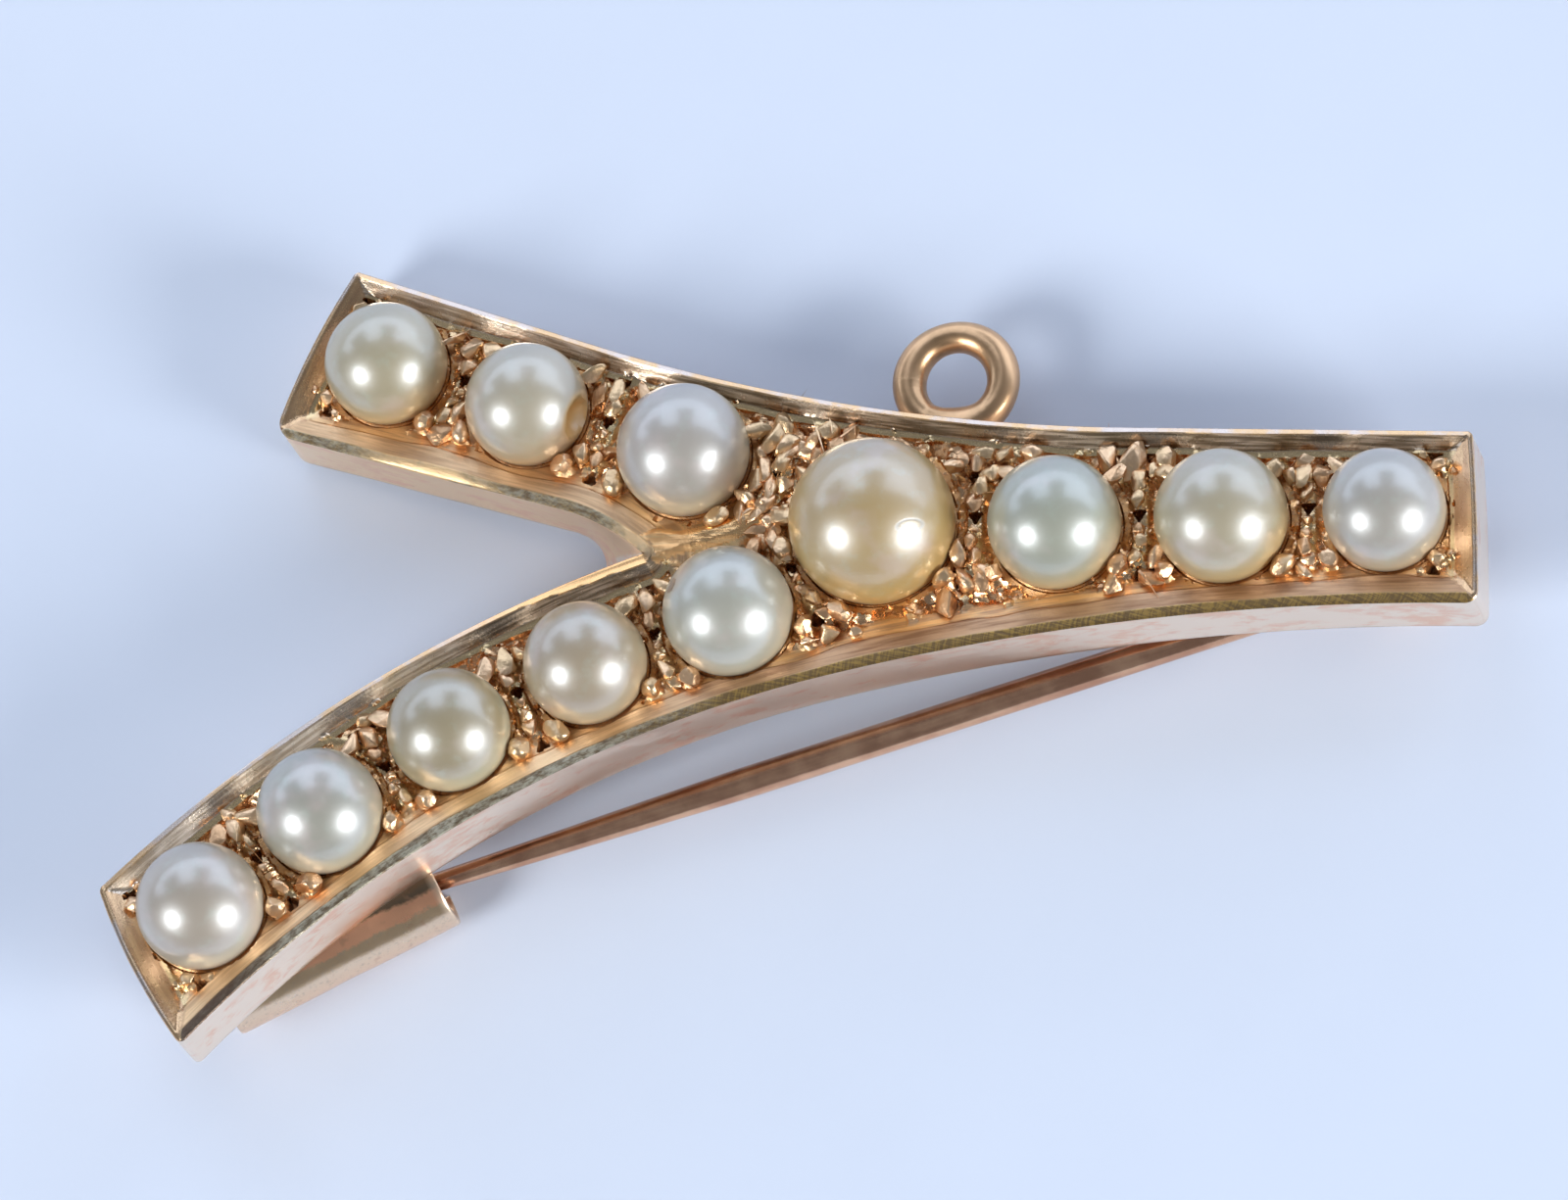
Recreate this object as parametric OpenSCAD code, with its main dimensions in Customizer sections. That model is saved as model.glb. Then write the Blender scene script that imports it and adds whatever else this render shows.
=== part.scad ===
// Pearl brooch: a Y-shaped gold tray set with twelve button pearls, with a chain loop,
// a rolled catch and a hinged pin behind. Millimetres, +Z up, resting as it lies by itself.
// The sizes below are given in the plate's own frame: origin at the large pearl, Z = 0 on the
// face of the rim, X along the right arm. The whole is turned to its resting pose at the end.

/* [Outline] */
// Depth of the outer wall from the face to the back
wall_depth = 1.8; // [1.5:0.1:2.4]
// Width of the lower left arm
arm_w = 4.45; // [4.2:0.05:4.9]
// Where the two straight runs of the top edge would cross
top_bend = [-0.66, 2.56];
// Radius of the bend in the top edge
top_r = 47; // [38:1:60]
// Fall of the top edge along the upper left arm, in degrees
top_fall_left = 19.8; // [18.5:0.1:21]
// Fall of the top edge along the right arm, in degrees
top_fall_right = 3.05; // [2:0.05:4]
// Point where the two curves of the lower edge join
foot_at = [-1.1, -3.93];
// Slope of the lower edge at that point, in degrees
foot_slope = 12.2; // [11:0.1:13.5]
// Radius of the lower edge under the lower left arm
foot_r_left = 30; // [29:0.5:31]
// Radius of the lower edge under the right arm
foot_r_right = 60; // [54:1:70]
// A point on the lower edge of the upper left arm
fork_at = [-10, 1.3];
// Fall of that edge, in degrees
fork_fall = 16.9; // [15.5:0.1:18]
// Radius at the bottom of the fork between the left arms
fork_r = 0.5; // [0.4:0.02:0.6]
// Middle of each arm's end: right, upper left, lower left
end_at = [[14.87, -0.4], [-14.31, 5.19], [-18.02, -10.87]];
// Direction that each end faces, in degrees
end_face = [2.9, 155.5, 209.2];
// Radius of each end's slight outward curve
end_r = [60, 18, 16];

/* [Tray] */
// Flat top of the rim
rim_flat = 0.18; // [0.12:0.02:0.26]
// Width of the rim's inner bevel
bevel_w = 0.36; // [0.25:0.01:0.42]
// Depth of the tray's floor below the face
tray_depth = 0.3; // [0.24:0.02:0.36]
// Steps that the bevel is cut in
bevel_steps = 3; // [2:1:4]
// Thickness of the gallery wall behind the tray
gallery_wall = 0.4; // [0.35:0.05:0.6]
// Height of the open space behind the tray
gallery_depth = 0.85; // [0.5:0.05:0.95]
// Thickness of the plates that close the back under catch and hinge
plate_t = 0.35; // [0.3:0.05:0.5]
// Width of the plate under the hinge
hinge_plate_w = 2.8; // [2.4:0.1:3]
// Where the plate under the catch begins
catch_plate_x = -10.2; // [-10.5:0.1:-9.8]

/* [Pearls] */
// Diameter of the large pearl
centre_d = 4.1; // [3.9:0.02:4.2]
// Diameters along the right arm, from the middle outward
right_d = [3.28, 3.28, 3.0];
// Their places along the arm
right_at = [4.55, 8.65, 12.65];
// Line of the right arm's pearls
right_line_y = -0.26; // [-0.36:0.02:-0.16]
// Diameters along the upper left arm, from the middle outward
upper_d = [3.28, 3.04, 3.04];
// Their places along the arm, from the first one
upper_at = [0, 4.22, 8.03];
// First pearl of the upper left arm
upper_start = [-4.76, 1.99];
// Rise of the line of the upper left arm's pearls, in degrees
upper_rise = 18.75; // [18.4:0.05:19.1]
// Diameters along the lower left arm, from the middle outward
lower_d = [3.2, 3.04, 3.04, 3.1, 3.14];
// Angle of the first pearl on the lower left arm's arc
lower_first = 15.7; // [15.5:0.1:15.9]
// Angle between neighbours on that arc
lower_step = 6.6; // [6.5:0.02:6.65]
// Height of a pearl's middle above the face
pearl_rise = 0.15; // [0.1:0.01:0.2]
// Depth of a pearl's flat base below the face
pearl_base = 0.45; // [0.4:0.01:0.55]
// Gap between a pearl and its seat
seat_gap = 0.04; // [0.03:0.01:0.06]
// Hole under a pearl, as a share of its diameter
pierce_share = 0.62; // [0.5:0.02:0.7]

/* [Grains] */
// Radius of a raised grain
grain_r = 0.22; // [0.18:0.01:0.24]
// Depth of a grain's middle below the face
grain_sink = 0.16; // [0.14:0.01:0.2]
// Angle of the grains from the line between two pearls
grain_turn = 40; // [38:1:44]
// Step of the middle grain toward the rim
grain_step = 0.28; // [0.2:0.02:0.36]

/* [Chain loop] */
// Middle of the loop
loop_at = [1.79, 3.84];
// Radius of the loop's hole
loop_hole_r = 0.78; // [0.7:0.02:0.8]
// Radius of the loop's wire
loop_wire_r = 0.42; // [0.4:0.01:0.46]
// Wear that flattens the inner side of the wire
loop_wear = 0.03; // [0.02:0.01:0.06]

/* [Pin and hinge] */
// Hinge point behind the right arm
hinge_at = [12.6, -0.79];
// Distance of the pin's line behind the back
pin_drop = 1.0; // [0.95:0.01:1.05]
// Direction of the pin on the plate, in degrees
pin_turn = 16.75; // [16.5:0.05:17]
// Lean of the hinge's axis out of the plate, in degrees
hinge_lean = 20; // [20:1:26]
// Length of the pin from hinge to point
pin_len = 28.4; // [27.5:0.1:29]
// Radius of the pin's thick half
pin_r = 0.38; // [0.34:0.01:0.38]
// Radius of the pin where it enters the catch
pin_neck_r = 0.23; // [0.18:0.01:0.24]
// Radius of the pin's rounded point
pin_point_r = 0.08; // [0.06:0.01:0.1]
// Radius of the knuckle
knuckle_r = 0.6; // [0.55:0.01:0.64]
// Width of the knuckle
knuckle_w = 0.8; // [0.76:0.02:0.9]
// Radius of the hinge's ears
ear_r = 0.7; // [0.66:0.01:0.74]
// Thickness of each ear
ear_t = 0.35; // [0.3:0.01:0.4]
// Radius of the rivet
rivet_r = 0.22; // [0.18:0.01:0.24]
// Radius of the rivet's heads
rivet_head_r = 0.36; // [0.32:0.01:0.42]
// Thickness of the rivet's heads
rivet_head_t = 0.12; // [0.1:0.01:0.16]
// Running gap of the knuckle on the rivet and beside the ears
hinge_gap = 0.04; // [0.03:0.01:0.06]

/* [Catch] */
// Mouth end of the rolled catch
catch_at = [-11.08, -8.05];
// Direction of the catch on the plate, in degrees
catch_turn = 26.5; // [25.5:0.1:27.5]
// Length of the catch
catch_len = 6; // [5:0.1:6.2]
// Outer radius of the roll
catch_r = 1.05; // [1:0.01:1.1]
// Thickness of the rolled sheet
catch_t = 0.2; // [0.18:0.01:0.24]
// Angle at which the roll's lip ends
catch_lip = 268; // [255:1:270]

/* [Hidden] */
reach = 80;
seam = 0.07;
overlap = 0.01;
fine = 360;
gold = [0.80, 0.60, 0.36];
gold_pin = [0.74, 0.50, 0.34];
pearl_tone = [0.90, 0.88, 0.80];

function on_circle(r, a) = [r * cos(a), r * sin(a)];
function flat3(p, z) = [p.x, p.y, z];

// Curves of the outline
top_half = (top_fall_left - top_fall_right) / 2;
top_normal = 90 - (top_fall_left + top_fall_right) / 2;
top_centre = top_bend + on_circle(top_r / cos(top_half), top_normal);
foot_left = foot_at + on_circle(foot_r_left, foot_slope - 90);
foot_right = foot_at + on_circle(foot_r_right, foot_slope - 90);
arm_r = foot_r_left + arm_w;

// The fork's rounded bottom, in the frame of the upper arm's lower edge
function turned(p, a) = [p.x * cos(a) - p.y * sin(a), p.x * sin(a) + p.y * cos(a)];
fork_c = turned(foot_left - fork_at, fork_fall);
fork_x = fork_c.x - sqrt(pow(arm_r + fork_r, 2) - pow(fork_r + fork_c.y, 2));
fork_mid = [fork_x, -fork_r];
fork_dir = (fork_c - fork_mid) / norm(fork_c - fork_mid);

// Places of the pearls, each with its radius
centre_seat = [0.03, -0.05, centre_d / 2];
function right_seat(i) = [right_at[i], right_line_y, right_d[i] / 2];
function upper_seat(i) = concat(upper_start + on_circle(upper_at[i], 180 - upper_rise), upper_d[i] / 2);
function lower_turn(i) = 90 + lower_first + i * lower_step;
function lower_seat(i) = concat(foot_left + on_circle(foot_r_left + arm_w / 2, lower_turn(i)), lower_d[i] / 2);
right_run = concat([centre_seat], [for (i = [0:2]) right_seat(i)]);
upper_run = concat([centre_seat], [for (i = [0:2]) upper_seat(i)]);
lower_run = concat([centre_seat], [for (i = [0:4]) lower_seat(i)]);
runs = [right_run, upper_run, lower_run];
seats = concat(right_run, [for (i = [0:2]) upper_seat(i)], [for (i = [0:4]) lower_seat(i)]);

// Heights behind the plate
pin_z = -wall_depth - pin_drop;
catch_z = seam - wall_depth - catch_r;

// Frame of the hinge
ear_in = knuckle_w / 2 + hinge_gap;
ear_out = ear_in + ear_t;
hinge_point = flat3(hinge_at, pin_z);
far_side = [-sin(pin_turn), cos(pin_turn), 0];
hinge_axis = far_side * cos(hinge_lean) + [0, 0, sin(hinge_lean)];
catch_side = [-sin(catch_turn), cos(catch_turn), 0];

// Three points that the brooch rests on: the catch's lip, the lower ear, the upper arm's corner
function unit(v) = v / norm(v);
function upright(a, b, c) = unit(cross(b - a, c - a));
function ear_foot(n) = hinge_point - hinge_axis * ear_out + unit(hinge_axis * (n * hinge_axis) - n) * ear_r;
lip_foot = flat3(catch_at, catch_z) + catch_side * catch_r * cos(catch_lip) + [0, 0, catch_r * sin(catch_lip)];
function end_centre(i) = end_at[i] - on_circle(end_r[i], end_face[i]);
function line_out(p, a, c, r) = let (u = on_circle(1, a), k = (c - p) * u, d = norm(c - p - u * k))
    p + u * (k + sqrt(r * r - d * d));
upper_corner = line_out(top_bend, 180 - top_fall_left, end_centre(1), end_r[1]);
arm_foot = flat3(upper_corner, -wall_depth);
first_up = upright(lip_foot, ear_foot([0, 0, 1]), arm_foot);
table_up = upright(lip_foot, ear_foot(first_up), arm_foot);
rest_angle = acos(table_up.z);
rest_axis = unit(cross(table_up, [0, 0, 1]));
function at_rest(p) = p * cos(rest_angle) + cross(rest_axis, p) * sin(rest_angle)
    + rest_axis * (rest_axis * p) * (1 - cos(rest_angle));

// Outer corners, which set the middle of the resting brooch
function arc_cross(i, c, r) = let (e = end_centre(i), v = c - e, d = norm(v), u = v / d,
    k = (d * d + pow(end_r[i], 2) - r * r) / (2 * d), h = sqrt(pow(end_r[i], 2) - k * k),
    w = [-u.y, u.x] * h, a = e + u * k + w, b = e + u * k - w)
    norm(a - end_at[i]) < norm(b - end_at[i]) ? a : b;
lower_inner = arc_cross(2, foot_left, arm_r);
lower_tip = arc_cross(2, foot_left, foot_r_left);
right_tip = arc_cross(0, foot_right, foot_r_right);
corners = [for (p = [lower_inner, lower_tip, right_tip, upper_corner]) each [flat3(p, 0), flat3(p, -wall_depth)]];
rest_x = [for (p = corners) at_rest(p).x];
rest_y = [for (p = corners) at_rest(p).y];
rest_middle = [(min(rest_x) + max(rest_x)) / 2, (min(rest_y) + max(rest_y)) / 2, at_rest(lip_foot).z];

// Everything beyond the top edge, grown inward by t
module beyond_top(t) {
    translate(top_centre) {
        circle(r = top_r + t, $fn = fine);
        rotate(-top_fall_left) translate([-reach, -top_r - t]) square(reach);
        rotate(-top_fall_right) translate([0, -top_r - t]) square(reach);
    }
}

// Everything beyond the lower edge, grown inward by t
module beyond_foot(t) {
    translate(foot_left) circle(r = foot_r_left + t, $fn = fine);
    translate(foot_right) rotate(foot_slope) intersection() {
        circle(r = foot_r_right + t, $fn = fine);
        translate([0, -reach]) square([reach, 2 * reach]);
    }
}

// The open fork between the two left arms, grown by t
module fork(t) {
    tip = fork_mid + fork_dir * (fork_r + t);
    translate(fork_at) rotate(-fork_fall) {
        difference() {
            polygon([[fork_x, t], [-reach, t], [-reach, -reach], [tip.x, -reach], tip]);
            translate(fork_c) circle(r = arm_r - t, $fn = fine);
        }
        translate(fork_mid) circle(r = fork_r + t + overlap, $fn = 48);
    }
}

// Outline of the brooch, drawn in by t
module outline(t) {
    difference() {
        square(reach, center = true);
        beyond_top(t);
        beyond_foot(t);
        fork(t);
        for (i = [0:2]) translate(end_centre(i)) rotate(end_face[i]) difference() {
            translate([end_r[i] - 1, -reach]) square(2 * reach);
            circle(r = end_r[i] - t, $fn = fine);
        }
    }
}

// Plate with its wall, stepped bevel, tray and the open gallery behind
module tray() {
    step = bevel_w / bevel_steps;
    drop = tray_depth / bevel_steps;
    difference() {
        translate([0, 0, -wall_depth]) linear_extrude(wall_depth) outline(0);
        for (i = [1:bevel_steps])
            translate([0, 0, -i * drop]) linear_extrude(1) outline(rim_flat + (i - 0.5) * step);
        translate([0, 0, -wall_depth - 1]) linear_extrude(gallery_depth + 1) outline(gallery_wall);
        drillings();
    }
}

// Plates soldered into the gallery to carry catch and hinge
module back_plates() {
    translate([0, 0, -wall_depth]) linear_extrude(plate_t) intersection() {
        outline(gallery_wall / 2);
        union() {
            translate([hinge_at.x - hinge_plate_w / 2, -reach / 2]) square([hinge_plate_w, reach]);
            translate([catch_plate_x - reach, -reach]) square([reach, reach - 1.2]);
        }
    }
}

// Drilled seats: a ledge under each pearl and a hole through the back
module drillings() {
    for (s = seats) translate([s.x, s.y, -pearl_base - 0.03]) {
        cylinder(h = 3, r = s.z + seat_gap, $fn = 96);
        translate([0, 0, -3]) cylinder(h = 4, r = s.z * pierce_share, $fn = 96);
    }
}

function grain_away(r) = sqrt(pow(r + grain_r + seat_gap, 2) - pow(grain_sink + pearl_rise, 2));
function heading(a, b) = atan2(b.y - a.y, b.x - a.x);

function grain_by(s, a) = [s.x, s.y] + on_circle(grain_away(s.z), a);

module grain(p) {
    translate([p.x, p.y, -grain_sink]) sphere(r = grain_r, $fn = 32);
}

// Grains on both sides of each gap between two pearls and in the ends of the arms
module grains() {
    for (run = runs, i = [1:len(run) - 1], side = [-1, 1]) {
        ahead = heading(run[i - 1], run[i]);
        near = grain_by(run[i - 1], ahead + side * grain_turn);
        far = grain_by(run[i], ahead + 180 - side * grain_turn);
        grain(near);
        grain(far);
        grain((near + far) / 2 + on_circle(grain_step, ahead + side * 90));
    }
    for (run = runs, side = [-1, 1]) {
        last = len(run) - 1;
        grain(grain_by(run[last], heading(run[last - 1], run[last]) + side * grain_turn));
    }
}

// Wire ring soldered to the top wall, its inner side worn to a short flat land
module chain_loop() {
    translate([loop_at.x, loop_at.y, -wall_depth / 2]) rotate_extrude($fn = 96) intersection() {
        translate([loop_hole_r + loop_wire_r - loop_wear, 0]) circle(r = loop_wire_r, $fn = 48);
        translate([loop_hole_r, -1]) square(2);
    }
}

// Sheet rolled outward and under the pin, open toward the upper side
module rolled_catch() {
    lip = on_circle(reach, catch_lip);
    translate(flat3(catch_at, catch_z)) rotate(catch_turn) translate([-catch_len, 0, 0]) rotate([90, 0, 90])
        linear_extrude(catch_len) difference() {
            circle(r = catch_r, $fn = 96);
            circle(r = catch_r - catch_t, $fn = 96);
            polygon([[0, 0], lip, [reach, -reach], [reach, reach], [0, reach]]);
        }
}

// Places what follows with Z on the hinge's axis and the pin running along -X
module at_hinge() {
    translate(hinge_point) rotate(pin_turn) rotate([hinge_lean - 90, 0, 0]) children();
}

module ears() {
    difference() {
        intersection() {
            at_hinge() for (z = [-ear_out, ear_in]) translate([0, 0, z]) {
                cylinder(h = ear_t, r = ear_r, $fn = 64);
                translate([-ear_r, -3, 0]) cube([2 * ear_r, 3, ear_t]);
            }
            translate([0, 0, seam - wall_depth - reach]) linear_extrude(reach) outline(0.02);
        }
        at_hinge() translate([0, 0, -2]) cylinder(h = 4, r = rivet_r + hinge_gap, $fn = 48);
    }
}

module frame() {
    color(gold) {
        tray();
        back_plates();
        rolled_catch();
        ears();
        chain_loop();
        grains();
    }
}

module pearl(s) {
    color(pearl_tone) translate([s.x, s.y, pearl_rise]) difference() {
        sphere(r = s.z, $fn = 96);
        translate([-5, -5, -10 - pearl_rise - pearl_base]) cube(10);
    }
}

// Knuckle and tapered wire with a rounded point
module pin_stem() {
    mid = pin_len * 0.6;
    neck = pin_len - 3.5;
    color(gold_pin) at_hinge() difference() {
        union() {
            translate([0, 0, -knuckle_w / 2]) cylinder(h = knuckle_w, r = knuckle_r, $fn = 64);
            rotate([0, -90, 0]) {
                cylinder(h = mid, r = pin_r, $fn = 48);
                translate([0, 0, mid]) cylinder(h = neck - mid, r1 = pin_r, r2 = pin_neck_r, $fn = 48);
                translate([0, 0, neck]) cylinder(h = pin_len - neck, r1 = pin_neck_r, r2 = pin_point_r, $fn = 48);
                translate([0, 0, pin_len]) sphere(r = pin_point_r, $fn = 48);
            }
        }
        translate([0, 0, -2]) cylinder(h = 4, r = rivet_r + hinge_gap, $fn = 48);
    }
}

module hinge_rivet() {
    head_z = ear_out + 0.02;
    color(gold_pin) at_hinge() {
        translate([0, 0, -head_z]) cylinder(h = 2 * head_z, r = rivet_r, $fn = 48);
        for (z = [-head_z - rivet_head_t, head_z]) translate([0, 0, z])
            cylinder(h = rivet_head_t, r = rivet_head_r, $fn = 48);
    }
}

module pearl_centre() pearl(centre_seat);
module pearl_right_1() pearl(right_seat(0));
module pearl_right_2() pearl(right_seat(1));
module pearl_right_3() pearl(right_seat(2));
module pearl_upper_1() pearl(upper_seat(0));
module pearl_upper_2() pearl(upper_seat(1));
module pearl_upper_3() pearl(upper_seat(2));
module pearl_lower_1() pearl(lower_seat(0));
module pearl_lower_2() pearl(lower_seat(1));
module pearl_lower_3() pearl(lower_seat(2));
module pearl_lower_4() pearl(lower_seat(3));
module pearl_lower_5() pearl(lower_seat(4));

// Turns the plate's frame to the pose in which the brooch rests
module resting() {
    translate(-rest_middle) rotate(a = rest_angle, v = rest_axis) children();
}

resting() frame();
resting() pin_stem();
resting() hinge_rivet();
resting() pearl_centre();
resting() pearl_right_1();
resting() pearl_right_2();
resting() pearl_right_3();
resting() pearl_upper_1();
resting() pearl_upper_2();
resting() pearl_upper_3();
resting() pearl_lower_1();
resting() pearl_lower_2();
resting() pearl_lower_3();
resting() pearl_lower_4();
resting() pearl_lower_5();
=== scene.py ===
import math
import random

import bmesh
import bpy
import numpy as np
from bpy.props import FloatProperty, FloatVectorProperty, PointerProperty
from bpy.types import Operator, Panel, PropertyGroup
from mathutils import Matrix, Vector, kdtree
from mathutils.geometry import delaunay_2d_cdt


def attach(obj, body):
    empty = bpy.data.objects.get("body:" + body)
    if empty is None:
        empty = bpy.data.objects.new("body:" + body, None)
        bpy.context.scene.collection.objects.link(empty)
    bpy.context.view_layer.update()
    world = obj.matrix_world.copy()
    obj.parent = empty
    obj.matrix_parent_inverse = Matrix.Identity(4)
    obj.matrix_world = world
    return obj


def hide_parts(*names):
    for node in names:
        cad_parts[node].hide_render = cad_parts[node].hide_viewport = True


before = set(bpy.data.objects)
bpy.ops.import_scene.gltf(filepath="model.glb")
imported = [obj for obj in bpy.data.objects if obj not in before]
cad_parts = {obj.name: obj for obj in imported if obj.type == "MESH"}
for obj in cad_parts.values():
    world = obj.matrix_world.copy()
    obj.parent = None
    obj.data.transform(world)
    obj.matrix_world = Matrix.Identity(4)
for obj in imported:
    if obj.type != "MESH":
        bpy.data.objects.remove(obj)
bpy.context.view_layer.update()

bl_info = {
    "name": "Pearl bar brooch",
    "version": (1, 0, 0),
    "blender": (4, 5, 0),
    "location": "3D View > Sidebar > Brooch",
    "description": "Dresses a forked gold bar brooch with its cut tray, grains, pearls, loop, catch and pin",
    "category": "Object",
}

MM = 0.001

# The plate's own frame is in millimetres: origin at the large pearl, Z = 0 on the rim's face.
# This matrix lays it down in the row's frame, in metres.
REST_MIDDLE = Vector((-2.01077488, -2.98119509, -3.12136705))
REST_TURN = Matrix.Rotation(math.radians(7.5686215), 4, (-0.96944779, -0.24529775, 0.0))
TO_ROW = Matrix.Scale(MM, 4) @ Matrix.Translation(-REST_MIDDLE) @ REST_TURN

# Outline of the plate
TOP_BEND, TOP_R, TOP_FALL = (-0.66, 2.56), 47.0, (19.8, 3.05)
FOOT_AT, FOOT_SLOPE, FOOT_R = (-1.1, -3.93), 12.2, (30.0, 60.0)
ARM_W = 4.45
FORK_AT, FORK_FALL = (-10.0, 1.3), 16.9
FORK_BOW, FORK_BOW_FROM, FORK_FILLET = 0.204, 2.3, 1.02
END_AT = ((14.87, -0.4), (-14.31, 5.19), (-18.02, -10.87))
END_FACE, END_R = (2.9, 155.5, 209.2), (60.0, 18.0, 16.0)
EDGES = ("end_0", "top", "end_1", "fork", "end_2", "foot")
CORNERS = (("foot", "end_0", 0.34), ("end_0", "top", 0.14), ("top", "end_1", 0.1),
           ("end_1", "fork", 0.5), ("fork", "end_2", 0.1), ("end_2", "foot", 0.2))

# Depths
WALL = 1.8
BACK_FLOOR = -0.95
GALLERY_WALL = 0.4
SEAT_LEDGE = -0.48
PEARL_RISE, PEARL_BASE = 0.15, 0.45
PIERCE = 0.62
GRAIN_SINK, GRAIN_TURN = 0.16, 40
# Points that a chip is hulled from, and flats cut on a bead
CHIP_POINTS, BEAD_CUTS = 15, 9

# How far each edge's curve is drawn past its corners: degrees of arc, or millimetres of a straight run
END_SPREAD, ARM_SPREAD, FOOT_SPAN = (5, 12, 14), 38, (144, 84)
TOP_REACH, FORK_REACH = 25.0, 8.0
# An end's distance counts only near it, this deep and this far to each side
END_DEEP, END_WIDE, END_FAR = 7, 8, 99.0

# Pearls: place and width. The right ones go by x, the upper ones by their distance along the arm,
# and the lower ones by equal turns about the arm's middle.
CENTRE_PEARL = ("pearl_centre", np.array((0.03, -0.05)), 2.05)
RIGHT_ROW, RIGHT_PEARLS = -0.26, ((4.55, 3.28), (8.65, 3.28), (12.65, 3.0))
UPPER_FROM, UPPER_WAY, UPPER_PEARLS = (-4.76, 1.99), 161.25, ((0, 3.28), (4.22, 3.04), (8.03, 3.04))
LOWER_FROM, LOWER_TURN, LOWER_PEARLS = 105.7, 6.6, (3.2, 3.04, 3.04, 3.1, 3.14)

# Loop, hinge, pin and catch
LOOP_AT, LOOP_RING, LOOP_WIRE = (1.79, 3.84), 1.17, 0.42
HINGE = (12.6, -0.79, -2.8)
PIN_TURN, HINGE_LEAN = 16.75, 20.0
PIN_LEN, PIN_R, PIN_NECK, PIN_POINT, PIN_WORN = 28.4, 0.38, 0.23, 0.08, 14.2
KNUCKLE_R, KNUCKLE_W = 0.6, 0.8
EAR_R, EAR_T, HINGE_GAP = 0.7, 0.35, 0.04
RIVET_R, RIVET_HEAD_R, RIVET_HEAD_T = 0.22, 0.36, 0.12
CATCH_AT, CATCH_TURN, CATCH_LEN = (-11.08, -8.05), 26.5, 6.0
CATCH_R, CATCH_T, CATCH_Z, CATCH_LIP = 1.05, 0.2, -2.78, 268
EAR_TALL = (1.5, 1.12)
# Closing plates: where the catch's begins in x and y, the span of the hinge's in x, and their thickness
CATCH_PLATE, HINGE_PLATE, PLATE_T = (-10.2, -1.2), (11.2, 14.0), 0.35

# Steps of the round pieces: along and around
LOOP_STEPS, PIN_STEPS, PEARL_STEPS = (128, 40), (150, 40), (40, 88)
# Steps of the catch: along it, around its sheet and around its lip
CATCH_STEPS = (22, 44, 7)
CATCH_SPAN = (math.radians(90), math.radians(CATCH_LIP))
RIVET_SIDES, KNUCKLE_SIDES = 40, 56


# Outline


def polar(r, a):
    return np.array((r * math.cos(math.radians(a)), r * math.sin(math.radians(a))))


def heading(a, b):
    return math.degrees(math.atan2(b[1] - a[1], b[0] - a[0]))


def turned(p, a):
    c, s = math.cos(math.radians(a)), math.sin(math.radians(a))
    return np.stack((p[..., 0] * c - p[..., 1] * s, p[..., 0] * s + p[..., 1] * c), -1)


def far(p, c):
    """Distance of each point from c."""
    return np.hypot(*(p - c).T)


def ramp(v, low, width):
    """0 up to low, then rising evenly to 1 over width."""
    return np.clip((v - low) / width, 0, 1)


def fade(v, full, width):
    """Falls from full by 1 over each width, held between 1 and 0."""
    return np.clip(full - v / width, 0, 1)


FOOT_C = [np.array(FOOT_AT) + polar(r, FOOT_SLOPE - 90) for r in FOOT_R]
TOP_HALF = math.radians((TOP_FALL[0] - TOP_FALL[1]) / 2)
TOP_C = np.array(TOP_BEND) + polar(TOP_R / math.cos(TOP_HALF), 90 - sum(TOP_FALL) / 2)
END_C = [np.array(END_AT[i]) - polar(END_R[i], END_FACE[i]) for i in range(3)]
ARM_R = FOOT_R[0] + ARM_W
FORK_C = turned(FOOT_C[0] - np.array(FORK_AT), FORK_FALL)


def bow(x):
    """How far the upper arm's lower edge bends down as it nears the fork."""
    return 0.5 * FORK_BOW * np.clip(x - FORK_BOW_FROM, 0, None) ** 2


def bow_lean(x):
    """How much longer a step straight up from that edge is than its distance from it."""
    return np.hypot(1, FORK_BOW * np.clip(x - FORK_BOW_FROM, 0, None))


def fork_corner():
    """Where the two left arms' edges meet on the face, in the fork's frame."""
    low, high = 3.0, 6.0
    for _ in range(40):
        x = (low + high) / 2
        outside = np.hypot(x - FORK_C[0], -bow(x) - FORK_C[1]) > ARM_R
        low, high = (x, high) if outside else (low, x)
    return np.array((x, -bow(x)))


def fillet_middle(r):
    """Middle of a rounding of radius r between the arms, and the angle at which it ends."""
    x = FORK_C[0] - math.sqrt((ARM_R + r) ** 2 - (r + FORK_C[1]) ** 2)
    return np.array((x, -r)), math.degrees(math.atan2(FORK_C[1] + r, FORK_C[0] - x))


FORK_TIP = fork_corner()
FORK_START = 90 - math.degrees(math.atan(FORK_BOW * (FORK_TIP[0] - FORK_BOW_FROM)))
FORK_END = math.degrees(math.atan2(*(FORK_C - FORK_TIP)[::-1]))


def to_fork(p):
    """A point of the plate in the fork's own frame."""
    return turned(p - np.array(FORK_AT), FORK_FALL)


def from_fork(p):
    """A point of the fork's own frame, on the plate."""
    return np.array(FORK_AT) + turned(np.asarray(p, float), -FORK_FALL)


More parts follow.
